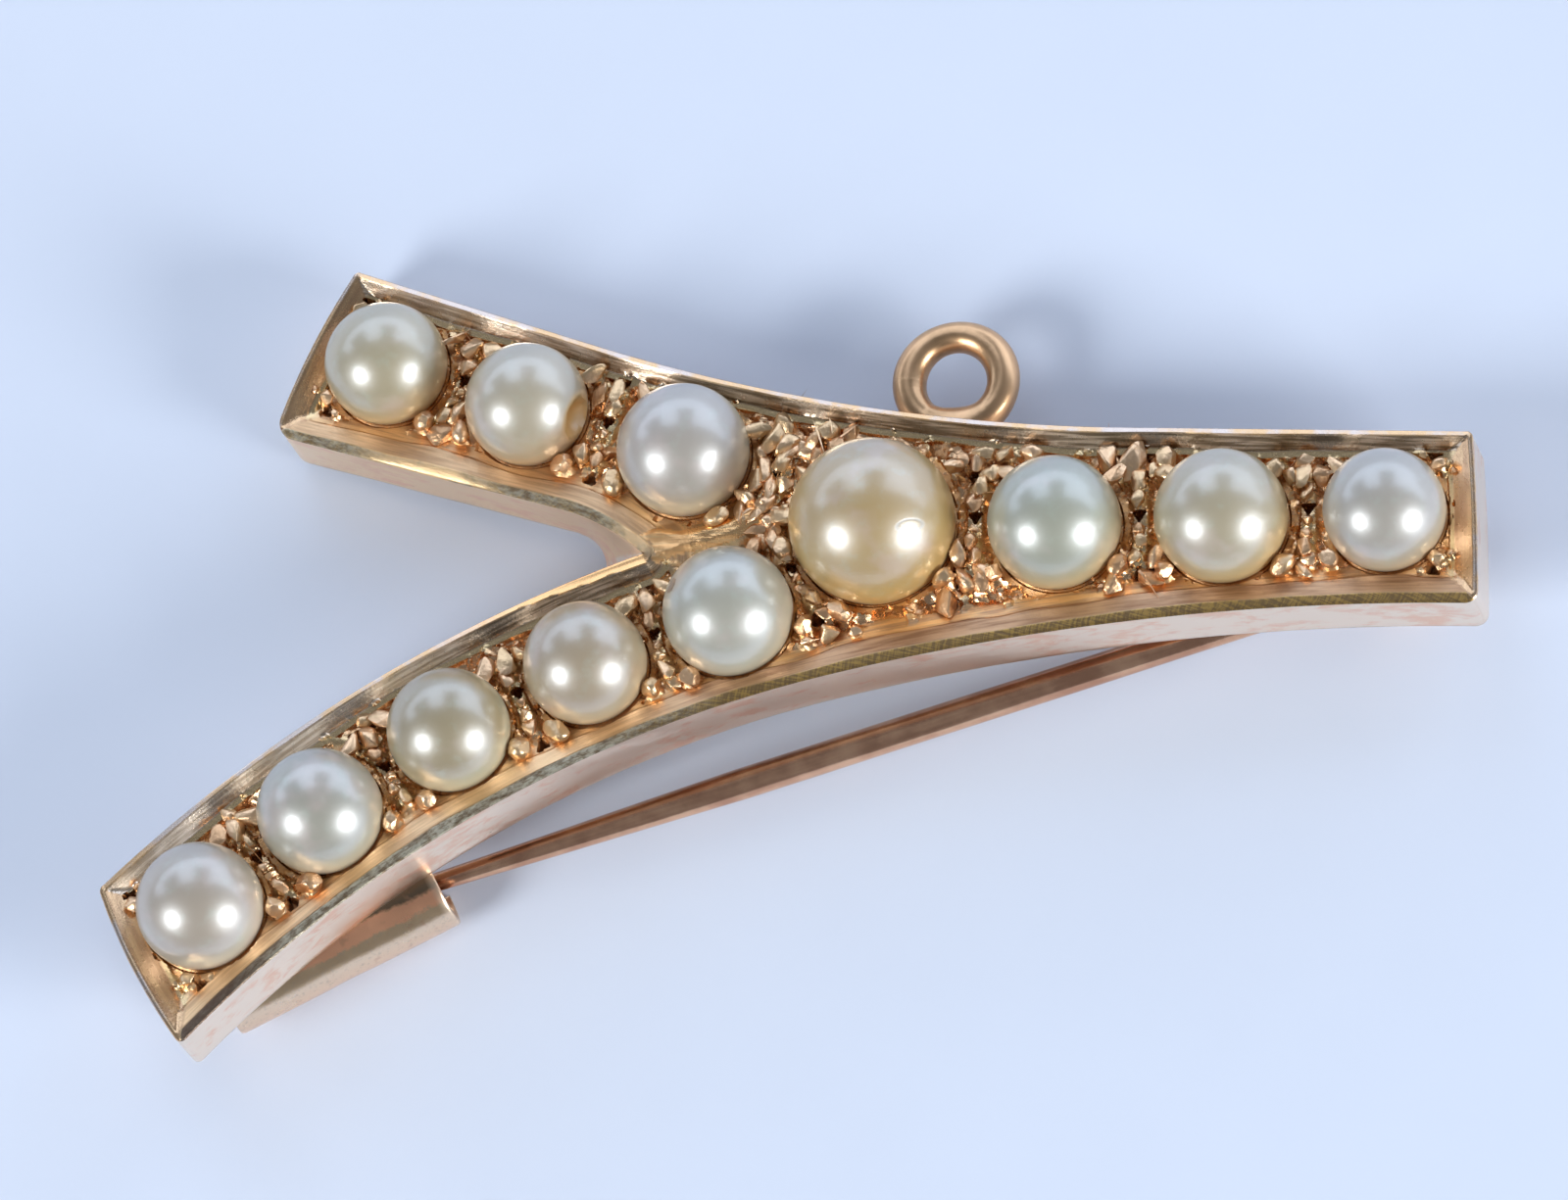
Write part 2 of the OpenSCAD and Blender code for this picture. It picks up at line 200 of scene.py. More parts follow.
def edge_distances(p):
    """How far each point lies inside each edge of the plate, and which side of the fork it is on."""
    out = {}
    for i in range(3):
        q = turned(p - END_C[i], -END_FACE[i])
        near = (q[:, 0] > END_R[i] - END_DEEP) & (abs(q[:, 1]) < END_WIDE)
        out[f"end_{i}"] = np.where(near, END_R[i] - np.hypot(*q.T), END_FAR)
    left, right = turned(p - TOP_C, TOP_FALL[0]), turned(p - TOP_C, TOP_FALL[1])
    d = np.where(left[:, 0] < 0, -TOP_R - left[:, 1], far(p, TOP_C) - TOP_R)
    out["top"] = np.where(right[:, 0] > 0, -TOP_R - right[:, 1], d)
    ahead = turned(p - np.array(FOOT_AT), -FOOT_SLOPE)[:, 0]
    out["foot"] = np.where(ahead < 0, *[far(p, FOOT_C[i]) - FOOT_R[i] for i in range(2)])
    q = to_fork(p)
    v = q - FORK_TIP
    angle = np.degrees(np.arctan2(v[:, 1], v[:, 0]))
    d = np.where(angle > 0, (q[:, 1] + bow(q[:, 0])) / bow_lean(q[:, 0]), ARM_R - far(q, FORK_C))
    bend = (angle >= FORK_END) & (angle <= FORK_START)
    out["fork"] = np.where(bend, np.hypot(*v.T), d)
    out["above"] = ramp(angle, FORK_END, FORK_START - FORK_END)
    return out


def inside(p, edges=None):
    """Distance inside the whole outline, with its corners rounded."""
    e = edges or edge_distances(p)
    d = np.minimum.reduce([e[k] for k in EDGES])
    for a, b, r in CORNERS:
        both = (e[a] < r) & (e[b] < r)
        d = np.where(both, np.minimum(d, r - np.hypot(r - e[a], r - e[b])), d)
    return d


def slope_of(p):
    """Direction and steepness in which the distance inside grows."""
    h = 1e-4
    gx = inside(p + (h, 0)) - inside(p - (h, 0))
    gy = inside(p + (0, h)) - inside(p - (0, h))
    return np.stack((gx, gy), -1) / (2 * h)


def settle(ring, t):
    """Moves points onto the outline drawn in by t."""
    for _ in range(4):
        g = slope_of(ring)
        ring = ring + g * ((t - inside(ring)) / np.maximum((g * g).sum(-1), 0.3))[:, None]
    return ring


def edge_runs(t, step):
    """Points along each edge drawn in by t, counterclockwise, before they are trimmed."""
    def arc(c, r, a, b):
        n = max(6, int(abs(math.radians(b - a)) * r / step))
        return np.array([c + polar(r, x) for x in np.linspace(a, b, n)])

    def line(a, b):
        return np.linspace(a, b, max(2, int(np.linalg.norm(b - a) / step)))

    def top_at(x, fall):
        return TOP_C + turned(np.array((x, -TOP_R - t)), -fall)

    meet = heading(FOOT_C[0], from_fork(FORK_TIP))
    ends = [arc(END_C[i], END_R[i] - t, END_FACE[i] - h, END_FACE[i] + h) for i, h in enumerate(END_SPREAD)]
    top = [line(top_at(TOP_REACH, TOP_FALL[1]), top_at(0.0, TOP_FALL[1])),
           arc(TOP_C, TOP_R + t, -90 - TOP_FALL[1], -90 - TOP_FALL[0])[1:],
           line(top_at(0.0, TOP_FALL[0]), top_at(-TOP_REACH, TOP_FALL[0]))[1:]]
    x = np.linspace(-FORK_REACH, FORK_TIP[0], int((FORK_TIP[0] + FORK_REACH) / step))
    fork = [from_fork(np.stack((x, t * bow_lean(x) - bow(x)), -1)),
            from_fork(arc(FORK_TIP, t, FORK_START, FORK_END))[1:],
            arc(FOOT_C[0], ARM_R - t, meet, meet + ARM_SPREAD)[1:]]
    foot = [arc(FOOT_C[0], FOOT_R[0] + t, FOOT_SPAN[0], FOOT_SLOPE + 90),
            arc(FOOT_C[1], FOOT_R[1] + t, FOOT_SLOPE + 90, FOOT_SPAN[1])[1:]]
    return {"end_0": ends[0], "top": np.vstack(top), "end_1": ends[1],
            "fork": np.vstack(fork), "end_2": ends[2], "foot": np.vstack(foot)}


def contour(t, step):
    """The closed outline drawn in by t, counterclockwise from the right end's lower corner."""
    rows = []
    for name, run in edge_runs(t, step).items():
        e = edge_distances(run)
        others = np.minimum.reduce([e[k] for k in EDGES if k != name])
        own = abs(e[name] - t) < 0.02 if name in ("fork", "foot", "top") else True
        rows.append(run[(others > t + step * 0.3) & own & (others < 50)])
    ring = settle(np.vstack(rows), t)
    full = []
    for a, b in zip(ring, np.roll(ring, -1, 0)):
        n = max(1, int(np.linalg.norm(b - a) / step))
        full += [a + (b - a) * k / n for k in range(n)]
    ring = settle(np.array(full), t)
    gap = np.linalg.norm(np.roll(ring, -1, 0) - ring, axis=1)
    return ring[gap > step * 0.25]


# Pearls and grains


def pearl_runs():
    """Name, middle and radius of every pearl, run by run from the middle outward."""
    row = ARM_R - ARM_W / 2
    places = {
        "right": [(np.array((x, RIGHT_ROW)), d) for x, d in RIGHT_PEARLS],
        "upper": [(np.array(UPPER_FROM) + polar(a, UPPER_WAY), d) for a, d in UPPER_PEARLS],
        "lower": [(FOOT_C[0] + polar(row, LOWER_FROM + LOWER_TURN * i), d)
                  for i, d in enumerate(LOWER_PEARLS)],
    }
    return [[CENTRE_PEARL] + [(f"pearl_{name}_{i + 1}", c, d / 2) for i, (c, d) in enumerate(run)]
            for name, run in places.items()]


RUNS = pearl_runs()
PEARLS = RUNS[0] + RUNS[1][1:] + RUNS[2][1:]


def grain_by(c, r, a, size):
    """A grain's place beside a pearl, at an angle around it."""
    away = math.sqrt((r + size + 0.03) ** 2 - (GRAIN_SINK + PEARL_RISE) ** 2)
    return c + polar(away, a)


# Grains across the waist between two pearls: spread along the row, place across it, share of the full
# size, height and length of the tail. Pits there: chance, spread, place across, radius and direction.
WAIST_GRAINS = ((0.08, 1.05, 1.0, -0.06, 0.16), (0.05, 0.62, 0.8, -0.08, 0.14),
                (0.06, -0.1, 0.62, -0.12, 0.0), (0.06, -0.45, 0.8, -0.08, 0.0),
                (0.08, -0.82, 0.85, -0.07, 0.1))
WAIST_PITS = ((1.0, 0.05, 0.26, 0.1, 1), (0.5, 0.2, 1.32, 0.11, 1), (0.6, 0.12, -1.3, 0.11, -1))
# Grains past an arm's last pearl: gap, turn from the arm's line, share of the full size, height
END_GRAINS = ((0.0, 44, 0.9, -0.1), (0.0, 60, 0.45, -0.16), (0.18, 34, 0.4, -0.17))
# Room that chips leave at each edge, how many are tried, and how far out
CHIP_ROOM, FORK_ROOM, CHIP_TRIES, CHIP_REACH = {"top": 0.6, "foot": 0.86, "fork": 0.6}, 0.26, 260, 1.9


class Plan:
    """Where the grains, ridges and pits between the pearls go."""

    def __init__(self, size):
        self.rng = random.Random(31)
        self.grains, self.ridges, self.pits = [], [], []
        for run in RUNS:
            for (_, a, ra), (_, b, rb) in zip(run, run[1:]):
                self.between(a, ra, b, rb, size)
            self.beyond(run[-2][1], *run[-1][1:], size)
        for x, y, r, tail, long in CLUSTER:
            self.grain((x, y), r, -0.1, tail, long)
        self.fill(np.array(CLUSTER[0][:2]), size)

    def grain(self, p, r, z, tail=0.0, long=0.0, bead=False):
        """A grain of radius r, drawn out by long toward the angle tail; a bead is rounder than the rest."""
        wild = self.rng.uniform
        spot = np.array(p) + (wild(-0.03, 0.03), wild(-0.03, 0.03))
        size, height, turn = r * wild(0.9, 1.12), z + wild(-0.03, 0.03), tail + wild(-14, 14)
        self.grains.append((spot, size, height, turn, long, bead))

    def between(self, a, ra, b, rb, size):
        """A ridge, grains and pits across the waist between two pearls."""
        wild = self.rng.uniform
        way = heading(a, b)
        gap = np.linalg.norm(b - a) - ra - rb
        waist = a + polar(ra + gap / 2, way)
        up = 90 if math.sin(math.radians(way + 90)) > 0 else -90

        def spot(u, v):
            return waist + polar(u, way) + polar(v, way + up)

        self.ridges.append((spot(0, -1.15), spot(0, 1.0), 0.15 + 0.16 * max(0.0, gap - 0.7)))
        for c, r, turn, side in ((a, ra, way, up / 90), (b, rb, way + 180, -up / 90)):
            low = grain_by(c, r, turn - side * (GRAIN_TURN + wild(-4, 4)), size * 1.2)
            high = grain_by(c, r, turn + side * (GRAIN_TURN + wild(-3, 6)), size)
            self.grain(low, size * wild(1.05, 1.3), -0.05, heading(low, c) + 90, wild(0.0, 0.16), True)
            self.grain(high, size, -0.04, heading(high, c) + 180, 0.22)
        for spread, across, share, z, long in WAIST_GRAINS:
            self.grain(spot(wild(-spread, spread), across), size * share, z, way + up, long)
        for chance, spread, across, r, side in WAIST_PITS:
            if chance == 1.0 or wild(0, 1) < chance:
                self.pits.append((spot(wild(-spread, spread), across), r, way + up * side))
        self.fill(waist, size)

    def fill(self, middle, size):
        """Smaller chips wherever the recess is still bare."""
        wild, reach = self.rng.uniform, CHIP_REACH
        spots = np.array([(wild(-reach, reach), wild(-reach, reach)) for _ in range(CHIP_TRIES)]) + middle
        e = edge_distances(spots)
        sides = CHIP_ROOM | {"fork": CHIP_ROOM["fork"] + FORK_ROOM * e["above"]}
        room = np.minimum.reduce([e[k] - sides.get(k, 0.8) for k in EDGES])
        for p, space in zip(spots, room):
            r = size * wild(0.75, 1.5)
            from_pearl = min(np.linalg.norm(p - c) - rp for _, c, rp in PEARLS)
            from_web = web_distance(p[None])[0]
            if space < r * 0.5 or from_pearl < r * 0.8 + 0.08 or from_web < 0.34 + r * 0.6:
                continue
            if any(np.linalg.norm(p - q) < 0.7 * (r + rq) + long * 0.3
                   for q, rq, _, _, long, _ in self.grains):
                continue
            if any(np.linalg.norm(p - q) < 0.8 * (r + rq) for q, rq, _ in self.pits):
                continue
            self.grain(p, r, wild(-0.2, -0.12) - 0.4 * (r - 0.2), wild(0, 360), wild(0.0, 0.2))

    def beyond(self, before, last, r, size):
        """Grains at the arm's end, past its last pearl."""
        way = heading(before, last)
        for side in (-1, 1):
            for gap, turn, share, z in END_GRAINS:
                self.grain(grain_by(last, r + gap, way + side * turn, size), size * share, z)
            self.pits.append((grain_by(last, r + 0.12, way + side * 52, size), 0.1, way + side * 90))


def hashed(i, j, seed):
    """A fixed number from 0 to 1 that looks random."""
    h = np.sin(i * 127.1 + j * 311.7 + seed * 74.7) * 43758.5453
    return h - np.floor(h)


def ripple(p, size, seed):
    """Smooth noise from -1 to 1."""
    q = p / size
    i = np.floor(q)
    f = q - i
    u = f * f * (3 - 2 * f)
    c = [[hashed(i[:, 0] + x, i[:, 1] + y, seed) for y in (0, 1)] for x in (0, 1)]
    low = c[0][0] * (1 - u[:, 0]) + c[1][0] * u[:, 0]
    high = c[0][1] * (1 - u[:, 0]) + c[1][1] * u[:, 0]
    return (low * (1 - u[:, 1]) + high * u[:, 1]) * 2 - 1


def facets(p, size, steep, seed):
    """Flat tilted cuts side by side, as a graver leaves them."""
    base = np.floor(p / size)
    best = np.full(len(p), 9e9)
    out = np.zeros(len(p))
    for x in (-1, 0, 1):
        for y in (-1, 0, 1):
            i, j = base[:, 0] + x, base[:, 1] + y
            site = [k + 0.15 + 0.7 * hashed(i, j, seed + n) for n, k in enumerate((i, j))]
            v = p - np.stack(site, -1) * size
            d = (v * v).sum(-1)
            tilt = hashed(i, j, seed + 2) * 2 * math.pi
            value = (v[:, 0] * np.cos(tilt) + v[:, 1] * np.sin(tilt)) * steep
            value += (hashed(i, j, seed + 3) - 0.5) * size * steep * 0.7
            out = np.where(d < best, value, out)
            best = np.minimum(best, d)
    return out


def to_line(p, a, b):
    """Distance of each point from the line between a and b."""
    a, b = np.array(a), np.array(b)
    t = np.clip(((p - a) @ (b - a)) / ((b - a) @ (b - a)), 0, 1)
    return np.linalg.norm(p - a - t[:, None] * (b - a), axis=1)


# Ridge from the fork's corner to the large pearl
WEB = ((-5.85, -0.5), (-5.3, -0.34), (-4.88, -0.3), (-4.15, -0.2), (-3.55, -0.03), (-3.0, 0.28))
# Grains where the three arms meet: place, radius, direction and length of the tail
CLUSTER = ((-2.72, 0.62, 0.2, 60, 0.2), (-3.02, 0.34, 0.17, 20, 0.1), (-2.62, 0.15, 0.21, 0, 0.0),
           (-2.95, -0.1, 0.16, 200, 0.2), (-2.45, -0.3, 0.15, 0, 0.0), (-3.35, 0.42, 0.14, 110, 0.3),
           (-2.6, 1.05, 0.18, 80, 0.24), (-2.3, -0.72, 0.17, 250, 0.2), (-2.75, 1.5, 0.17, 100, 0.2),
           (-2.42, 0.45, 0.12, 0, 0.0), (-3.25, 0.02, 0.1, 0, 0.0), (-2.2, 1.9, 0.17, 60, 0.3))


def web_distance(p):
    """Distance of each point from the ridge at the fork."""
    return np.minimum.reduce([to_line(p, a, b) for a, b in zip(WEB, WEB[1:])])


def breath(p):
    """Slow unevenness of the hand-cut widths, around 1."""
    return 1 + 0.12 * ripple(p, 1.8, 3) + 0.06 * ripple(p, 0.8, 4)


def cuts(sizes):
    """Breaks of the rim's section: distance in from the edge and height, for each kind of edge."""
    narrow, broad = sizes.rim_narrow / MM, sizes.rim_broad / MM
    short, long = sizes.bevel_short / MM, sizes.bevel_long / MM
    deep = sizes.tray_depth / MM
    foot, half, end = narrow + short, broad + long * 0.5, narrow * 0.8 + long * 0.6
    steep = ((0, -0.02), (narrow, 0), (foot, -deep), (foot + 0.17, -deep - 0.015),
             (foot + 0.21, -deep - 0.16), (2, -1.5))
    shallow = ((0, -0.005), (broad, 0), (half, -deep * 0.5), (half + 0.03, -deep * 0.62),
               (broad + long, -deep * 1.2), (broad + long + 0.4, -deep * 2.2), (2, -1.8))
    ends = ((0, -0.01), (narrow * 0.8, 0), (end, -deep * 0.9), (end + 0.12, -deep),
            (end + 0.17, -deep * 1.4), (2, -1.5))
    return [tuple(np.array(k).T) for k in (steep, shallow, ends)]


def cracked(p, spot, r, turn):
    """Distance to a three-sided pit, 1 on its edge."""
    v = p - spot
    return np.max([v @ polar(1, turn + k) for k in (0, 118, 242)], axis=0) / r


# How far the rim's masks reach past the breaks of its section, and how wide the ledge's mask is
SEAM, LEDGE = 0.004, 0.171


def rim_masks(x, e, swell, wider, sections):
    """Distance in from the nearest edge, share of the rim worn down near the fork, whose flash stretches
    carry a painted highlight, and masks of the rim's parts.
    """
    steep, shallow, ends = [section[0] for section in sections]
    inward = [e[k] / swell for k in EDGES]
    near = np.argmin(inward, axis=0)
    fork, foot = [1.0 * (near == EDGES.index(name)) for name in ("fork", "foot")]
    # every second edge is an arm's end
    at_end = 1.0 * (near % 2 == 0)
    above = e["above"]
    broad = fork * above + foot
    t = np.min(inward, axis=0) - wider * fork
    rim, low = [np.where(broad > 0.5, shallow[a], np.where(at_end > 0.5, ends[b], steep[b])) + SEAM
                for a, b in ((1, 1), (4, 2))]
    flash = fork * above * fade(abs(x + 11.2), 1.5, 1.4)
    return t, flash, {
        "broad": broad,
        "at_end": at_end,
        "flat": 1.0 * (t < rim),
        "bevel": 1.0 * ((t >= rim) & (t < low)),
        "ledge": 1.0 * ((t >= low) & (t < low + LEDGE) & (broad < 0.5)),
        # strip of the slope beside the pearls, painted lighter: partly its own brighter zone, partly painted
        # light against the pearls' shade
        "upper": ramp(t, shallow[3] - 0.03, 0.08),
        "warm": fork * (1 - above) * ramp(x, -11.5, 3),
        "flash": np.maximum(flash, fork * above * ramp(x, -6.7, 0.6)),
        "grey": foot * ramp(-x, 3.5, 3) + 0.6 * fork * above,
        # the lower arm's rim near its end, painted dark as a reflection
        "dusk": foot * ramp(-x, 13.9, 1.6),
        "worn": np.where(near == EDGES.index("top"), 0.6 * ramp(-x, 4.5, 3), ramp(-x, 9.5, 2.5)),
    }


def recess(p, deep, plan):
    """Height of the recess between the pearls, cut by facets and raised around the grains."""
    h = -deep - 0.09 + np.clip(facets(p, 0.42, 0.5, 11) + 0.5 * facets(p + 0.13, 0.2, 0.4, 21), -0.14, 0.14)
    crest = -0.24 + facets(p, 0.2, 0.4, 33) * 0.5
    for a, b, half in plan.ridges:
        h = np.maximum(h, crest - 2.0 * np.maximum(0, to_line(p, a, b) - half))
    for spot, r, z, *_ in plan.grains:
        h = np.maximum(h, z - r * 0.45 - 1.3 * np.maximum(0, far(p, spot) - r * 0.7))
    return h


def relief(p, sizes, plan):
    """Height of the tray's face at each point, with masks of its parts."""
    e, swell, sections = edge_distances(p), breath(p), cuts(sizes)
    deep = sizes.tray_depth / MM
    from_tip = far(p, WEB[0])
    # the lower arm's rim is wider beside the fork
    wider = 0.14 * (1 - e["above"]) * fade(from_tip, 1.2, 3)
    share = {"top": 0.0, "foot": 1.0, "fork": e["above"]}
    h = np.full(len(p), -9.0)
    for name in EDGES:
        t = np.clip(e[name], 0, 2) / swell
        if name == "fork":
            t = np.maximum(t - wider, np.minimum(t, 0.02))
        steep, shallow, end = [np.interp(t, *section) for section in sections]
        h = np.maximum(h, steep * (1 - share[name]) + shallow * share[name] if name in share else end)
    t, flash, masks = rim_masks(p[:, 0], e, swell, wider, sections)
    h = h - 0.09 * flash * (0.85 + 0.15 * ripple(p, 0.5, 61)) * fade(t, 1, 0.26) ** 2
    slope, cut = h, recess(p, deep, plan)

    # the ridge at the fork, broad where it meets the corner and chiselled beyond
    web, landing = web_distance(p), 0.26 * fade(from_tip, 1.25, 0.9)
    lines = 0.004 * ripple(turned(p, -8) * (0.2, 1), 0.12, 9) + 0.02 * ripple(p, 0.3, 8)
    chiselled = (lines + 0.09 * facets(p, 0.2, 0.3, 8)) * (web < 0.5)
    ridge = -0.02 - 0.7 * np.maximum(0, web - 0.13 - landing) + chiselled
    masks["web"] = 1.0 * ((ridge > np.maximum(h, cut) - 0.012) & (web < 0.3 + landing))
    h = np.maximum(np.maximum(h, cut), ridge)

    masks["pit"] = np.zeros(len(p))
    for spot, r, turn in plan.pits:
        q = cracked(p, spot, r, turn)
        hole = (q < 1) & (slope < -deep * 0.6)
        h = np.where(hole, np.minimum(h, -0.4 - 0.2 * (1 - q)), h)
        masks["pit"] = np.where(hole, 1.0, masks["pit"])

    # a moat and a seat around each pearl
    collar = np.zeros(len(p))
    moat = 0.17 + 0.04 * ripple(p, 0.5, 17)
    for _, c, r in PEARLS:
        gap = far(p, c) - r
        seat = np.maximum(SEAT_LEDGE, -0.46 + (gap + 0.01) * 5.5)
        beside = (gap < moat) & (slope < cut)
        h = np.where(beside, np.minimum(h, -0.4 + 0.3 * np.maximum(0, gap - 0.05)), h)
        collar = np.maximum(collar, (gap < 0.2) & (seat < h) | beside)
        h = np.where(gap < 0.25, np.minimum(h, seat), h)
    masks["collar"] = collar
    rough = (slope < cut) & (collar < 0.5) & (ridge < cut)
    h = h + 0.008 * ripple(p, 0.12, 5) * rough
    h = h - 0.04 * fade(inside(p, e), 1, 0.04) ** 2
    masks["depth"] = ramp(-h, 0.16, 0.3)
    return h, masks


# Meshes


class Field:
    """Points to be joined by triangles, with the loops that are held as edges."""

    def __init__(self, *loops):
        self.points, self.loops, self.count = [], [], 0
        for ring in loops:
            self.take(ring, True)

    def take(self, ring, loop=False):
        self.points.append(ring)
        if loop:
            self.loops.append(list(range(self.count, self.count + len(ring))))
        self.count += len(ring)

    def triangles(self, keep):
        """The points, and the Delaunay triangles between them whose middles pass keep."""
        edges = [(a, b) for loop in self.loops for a, b in zip(loop, loop[1:] + loop[:1])]
        points = [Vector(p) for p in np.vstack(self.points)]
        verts, _, faces, *_ = delaunay_2d_cdt(points, edges, [], 0, 1e-7)
        xy = np.array([tuple(v) for v in verts])
        tri = np.array([f for f in faces if len(f) == 3])
        return xy, tri[keep(xy[tri].mean(axis=1))]


class Shell:
    """Gathers patches of a mesh, in millimetres of the plate's frame, and welds them."""

    def __init__(self):
        self.points, self.faces, self.slots, self.count = [], [], [], 0

    def add(self, points, faces, slot=0):
        """Takes a patch; slot is the number of its finish."""
        self.points.append(np.asarray(points, float))
        self.faces += [[i + self.count for i in f] for f in faces]
        self.slots += [slot] * len(faces)
        self.count += len(points)

    def band(self, rows, slot=0):
        """Quads between closed rows of equally many points."""
        n = len(rows[0])
        faces = [(r * n + i, r * n + (i + 1) % n, (r + 1) * n + (i + 1) % n, (r + 1) * n + i)
                 for r in range(len(rows) - 1) for i in range(n)]
        self.add(np.vstack(rows), faces, slot)

    def spindle(self, rows):
        """A band whose first and last rows are closed with a fan."""
        self.band(rows)
        for ring in (rows[0], rows[-1]):
            n = len(ring)
            self.add(np.vstack((ring, ring.mean(0))), [(i, (i + 1) % n, n) for i in range(n)])

    def build(self, name, finishes, place=None, weld=1e-4, sharp=38):
        """Makes the object at its place in the row's frame."""
        points = np.vstack(self.points)
        mesh = bpy.data.meshes.new(name)
        mesh.from_pydata(points.tolist(), [], self.faces)
        mesh.polygons.foreach_set("material_index", self.slots)
        bm = bmesh.new()
        bm.from_mesh(mesh)
        bmesh.ops.remove_doubles(bm, verts=bm.verts, dist=weld)
        bmesh.ops.dissolve_degenerate(bm, dist=weld / 4, edges=bm.edges)
        bmesh.ops.recalc_face_normals(bm, faces=bm.faces)
        bm.to_mesh(mesh)
        bm.free()
        mesh.polygons.foreach_set("use_smooth", [True] * len(mesh.polygons))
        if sharp:
            mesh.set_sharp_from_angle(angle=math.radians(sharp))
        for finish in finishes:
            mesh.materials.append(finish)
        piece = bpy.data.objects.new(name, mesh)
        bpy.context.scene.collection.objects.link(piece)
        if place is not None:
            mesh.transform(place)
        return piece


def coords(piece):
    out = np.zeros(len(piece.data.vertices) * 3)
    piece.data.vertices.foreach_get("co", out)
    return out.reshape(-1, 3)


def own_coords(piece, place):
    """The piece's points in the frame that was laid at place."""
    return np.array([place.inverted() @ Vector(p) for p in coords(piece)])


def spokes(n):
    """Angles of n points evenly around a circle."""
    return np.arange(n) * 2 * math.pi / n


def seat_piece(piece, slot, body="brooch", stands_for=(), **marks):
    """Stores the marks, a number or vector for each point, and lays the piece on its body."""
    for name, values in marks.items():
        values = np.asarray(values, np.float32)
        kind, key = ("FLOAT", "value") if values.ndim == 1 else ("FLOAT_VECTOR", "vector")
        piece.data.attributes.new(name, kind, "POINT").data.foreach_set(key, values.ravel())
    piece.data.transform(TO_ROW)
    piece.data.update()
    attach(piece, body)
    if stands_for:
        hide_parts(*stands_for)


def flat(ring, z):
    """Points of the plate lifted to the height z, one for all or one each."""
    return np.column_stack((ring, np.broadcast_to(z, (len(ring),))))


def disc(c, r, step):
    """Points around a circle, about step apart."""
    a = spokes(max(12, int(2 * math.pi * r / step)))
    return c + r * np.stack((np.cos(a), np.sin(a)), -1)


def drained(bm):
    """Points and faces of a bmesh, which is then freed."""
    bm.verts.index_update()
    made = np.array([v.co for v in bm.verts]), [[v.index for v in f.verts] for f in bm.faces]
    bm.free()
    return made


def chunk(rng, r):
    """Points and faces of a small many-sided chip."""
    bm = bmesh.new()
    for _ in range(CHIP_POINTS):
        at = rng.normal(size=3)
        bm.verts.new(at / np.linalg.norm(at) * r * rng.uniform(0.86, 1.08))
    bmesh.ops.convex_hull(bm, input=bm.verts)
    loose = [v for v in bm.verts if not v.link_faces]
    bmesh.ops.delete(bm, geom=loose, context="VERTS")
    bmesh.ops.bevel(bm, geom=bm.edges, offset=r * 0.1, segments=1, affect="EDGES")
    bmesh.ops.triangulate(bm, faces=bm.faces)
    return drained(bm)


def clear_of_pearls(p, room, share=1.0):
    """Which points are further than room from a share of every pearl's radius."""
    return np.all([far(p, c) > r * share + room for _, c, r in PEARLS], axis=0)


def grid_over(pitch, row=1.0, shift=0.0):
    """A grid over the whole plate; rows are row times the pitch apart, and every second one is shifted."""
    gx, gy = np.meshgrid(np.arange(-20, 16, pitch), np.arange(-14, 9, pitch * row))
    gx = gx + (np.arange(len(gx)) % 2)[:, None] * shift
    return np.stack((gx.ravel(), gy.ravel()), -1)


def fork_fillet(ring, share):
    """Draws the wall's rows out toward a larger rounding at the back of the fork."""
    middle, end = fillet_middle(FORK_FILLET)
    q = to_fork(ring)
    v = q - middle
    away = np.hypot(*v.T)
    angle = np.degrees(np.arctan2(v[:, 1], v[:, 0]))
    wedge = (angle > end) & (angle < 90) & (away > FORK_FILLET) & (away < 4)
    goal = middle + v * (FORK_FILLET / away)[:, None]
    return from_fork(np.where(wedge[:, None], q + (goal - q) * share, q))


# Steps of the tray's mesh: along the rim, over the recess and over the floor, and in from the edge
RIM_STEP, FINE_PITCH, FLOOR_PITCH = 0.06, 0.054, 0.4
RING_STEPS = (0.025, 0.06, 0.095, 0.13, 0.165, 0.2, 0.235, 0.27, 0.31, 0.35, 0.4, 0.45, 0.5, 0.53, 0.58, 0.63,
              0.68, 0.74, 0.79, 0.85, 0.92, 1.0)
# Room that the mesh leaves around the pearls on the face and in the floor
FACE_ROOM, FLOOR_ROOM = 0.06, 0.15


def face_field(rim, holes, sizes):
    """Points of the cut face: rings along the edges, circles around the pearls, an uneven grid between."""
    face = Field(rim)
    breaks = sorted({round(float(x), 4) for kind in cuts(sizes) for x in kind[0][1:5]} | set(RING_STEPS))
    kept = [breaks[0]]
    for t in breaks[1:]:
        if t - kept[-1] > 0.018 and t < 1.2:
            kept.append(t)
    for t in kept:
        ring = contour(t, RIM_STEP)
        ring = ring + slope_of(ring) * (t * (breath(ring) - 1))[:, None]
        face.take(ring[clear_of_pearls(ring, FACE_ROOM) & (inside(ring) > 0.015)])
    for ring in holes:
        face.take(ring, True)
    for _, c, r in PEARLS:
        face.take(disc(c, r * 0.85, 0.15))
        for more in (-0.06, 0.0, 0.03):
            ring = disc(c, r + more, RIM_STEP)
            face.take(ring[inside(ring) > 0.02])
    grid = grid_over(FINE_PITCH, 0.866, FINE_PITCH / 2)
    grid = grid[(inside(grid) > 1.0) & clear_of_pearls(grid, FACE_ROOM)]
    jitter = np.stack([hashed(*grid.T, seed) for seed in (1, 2)], -1) - 0.5
    face.take(grid + jitter * FINE_PITCH * 0.3)
    return face


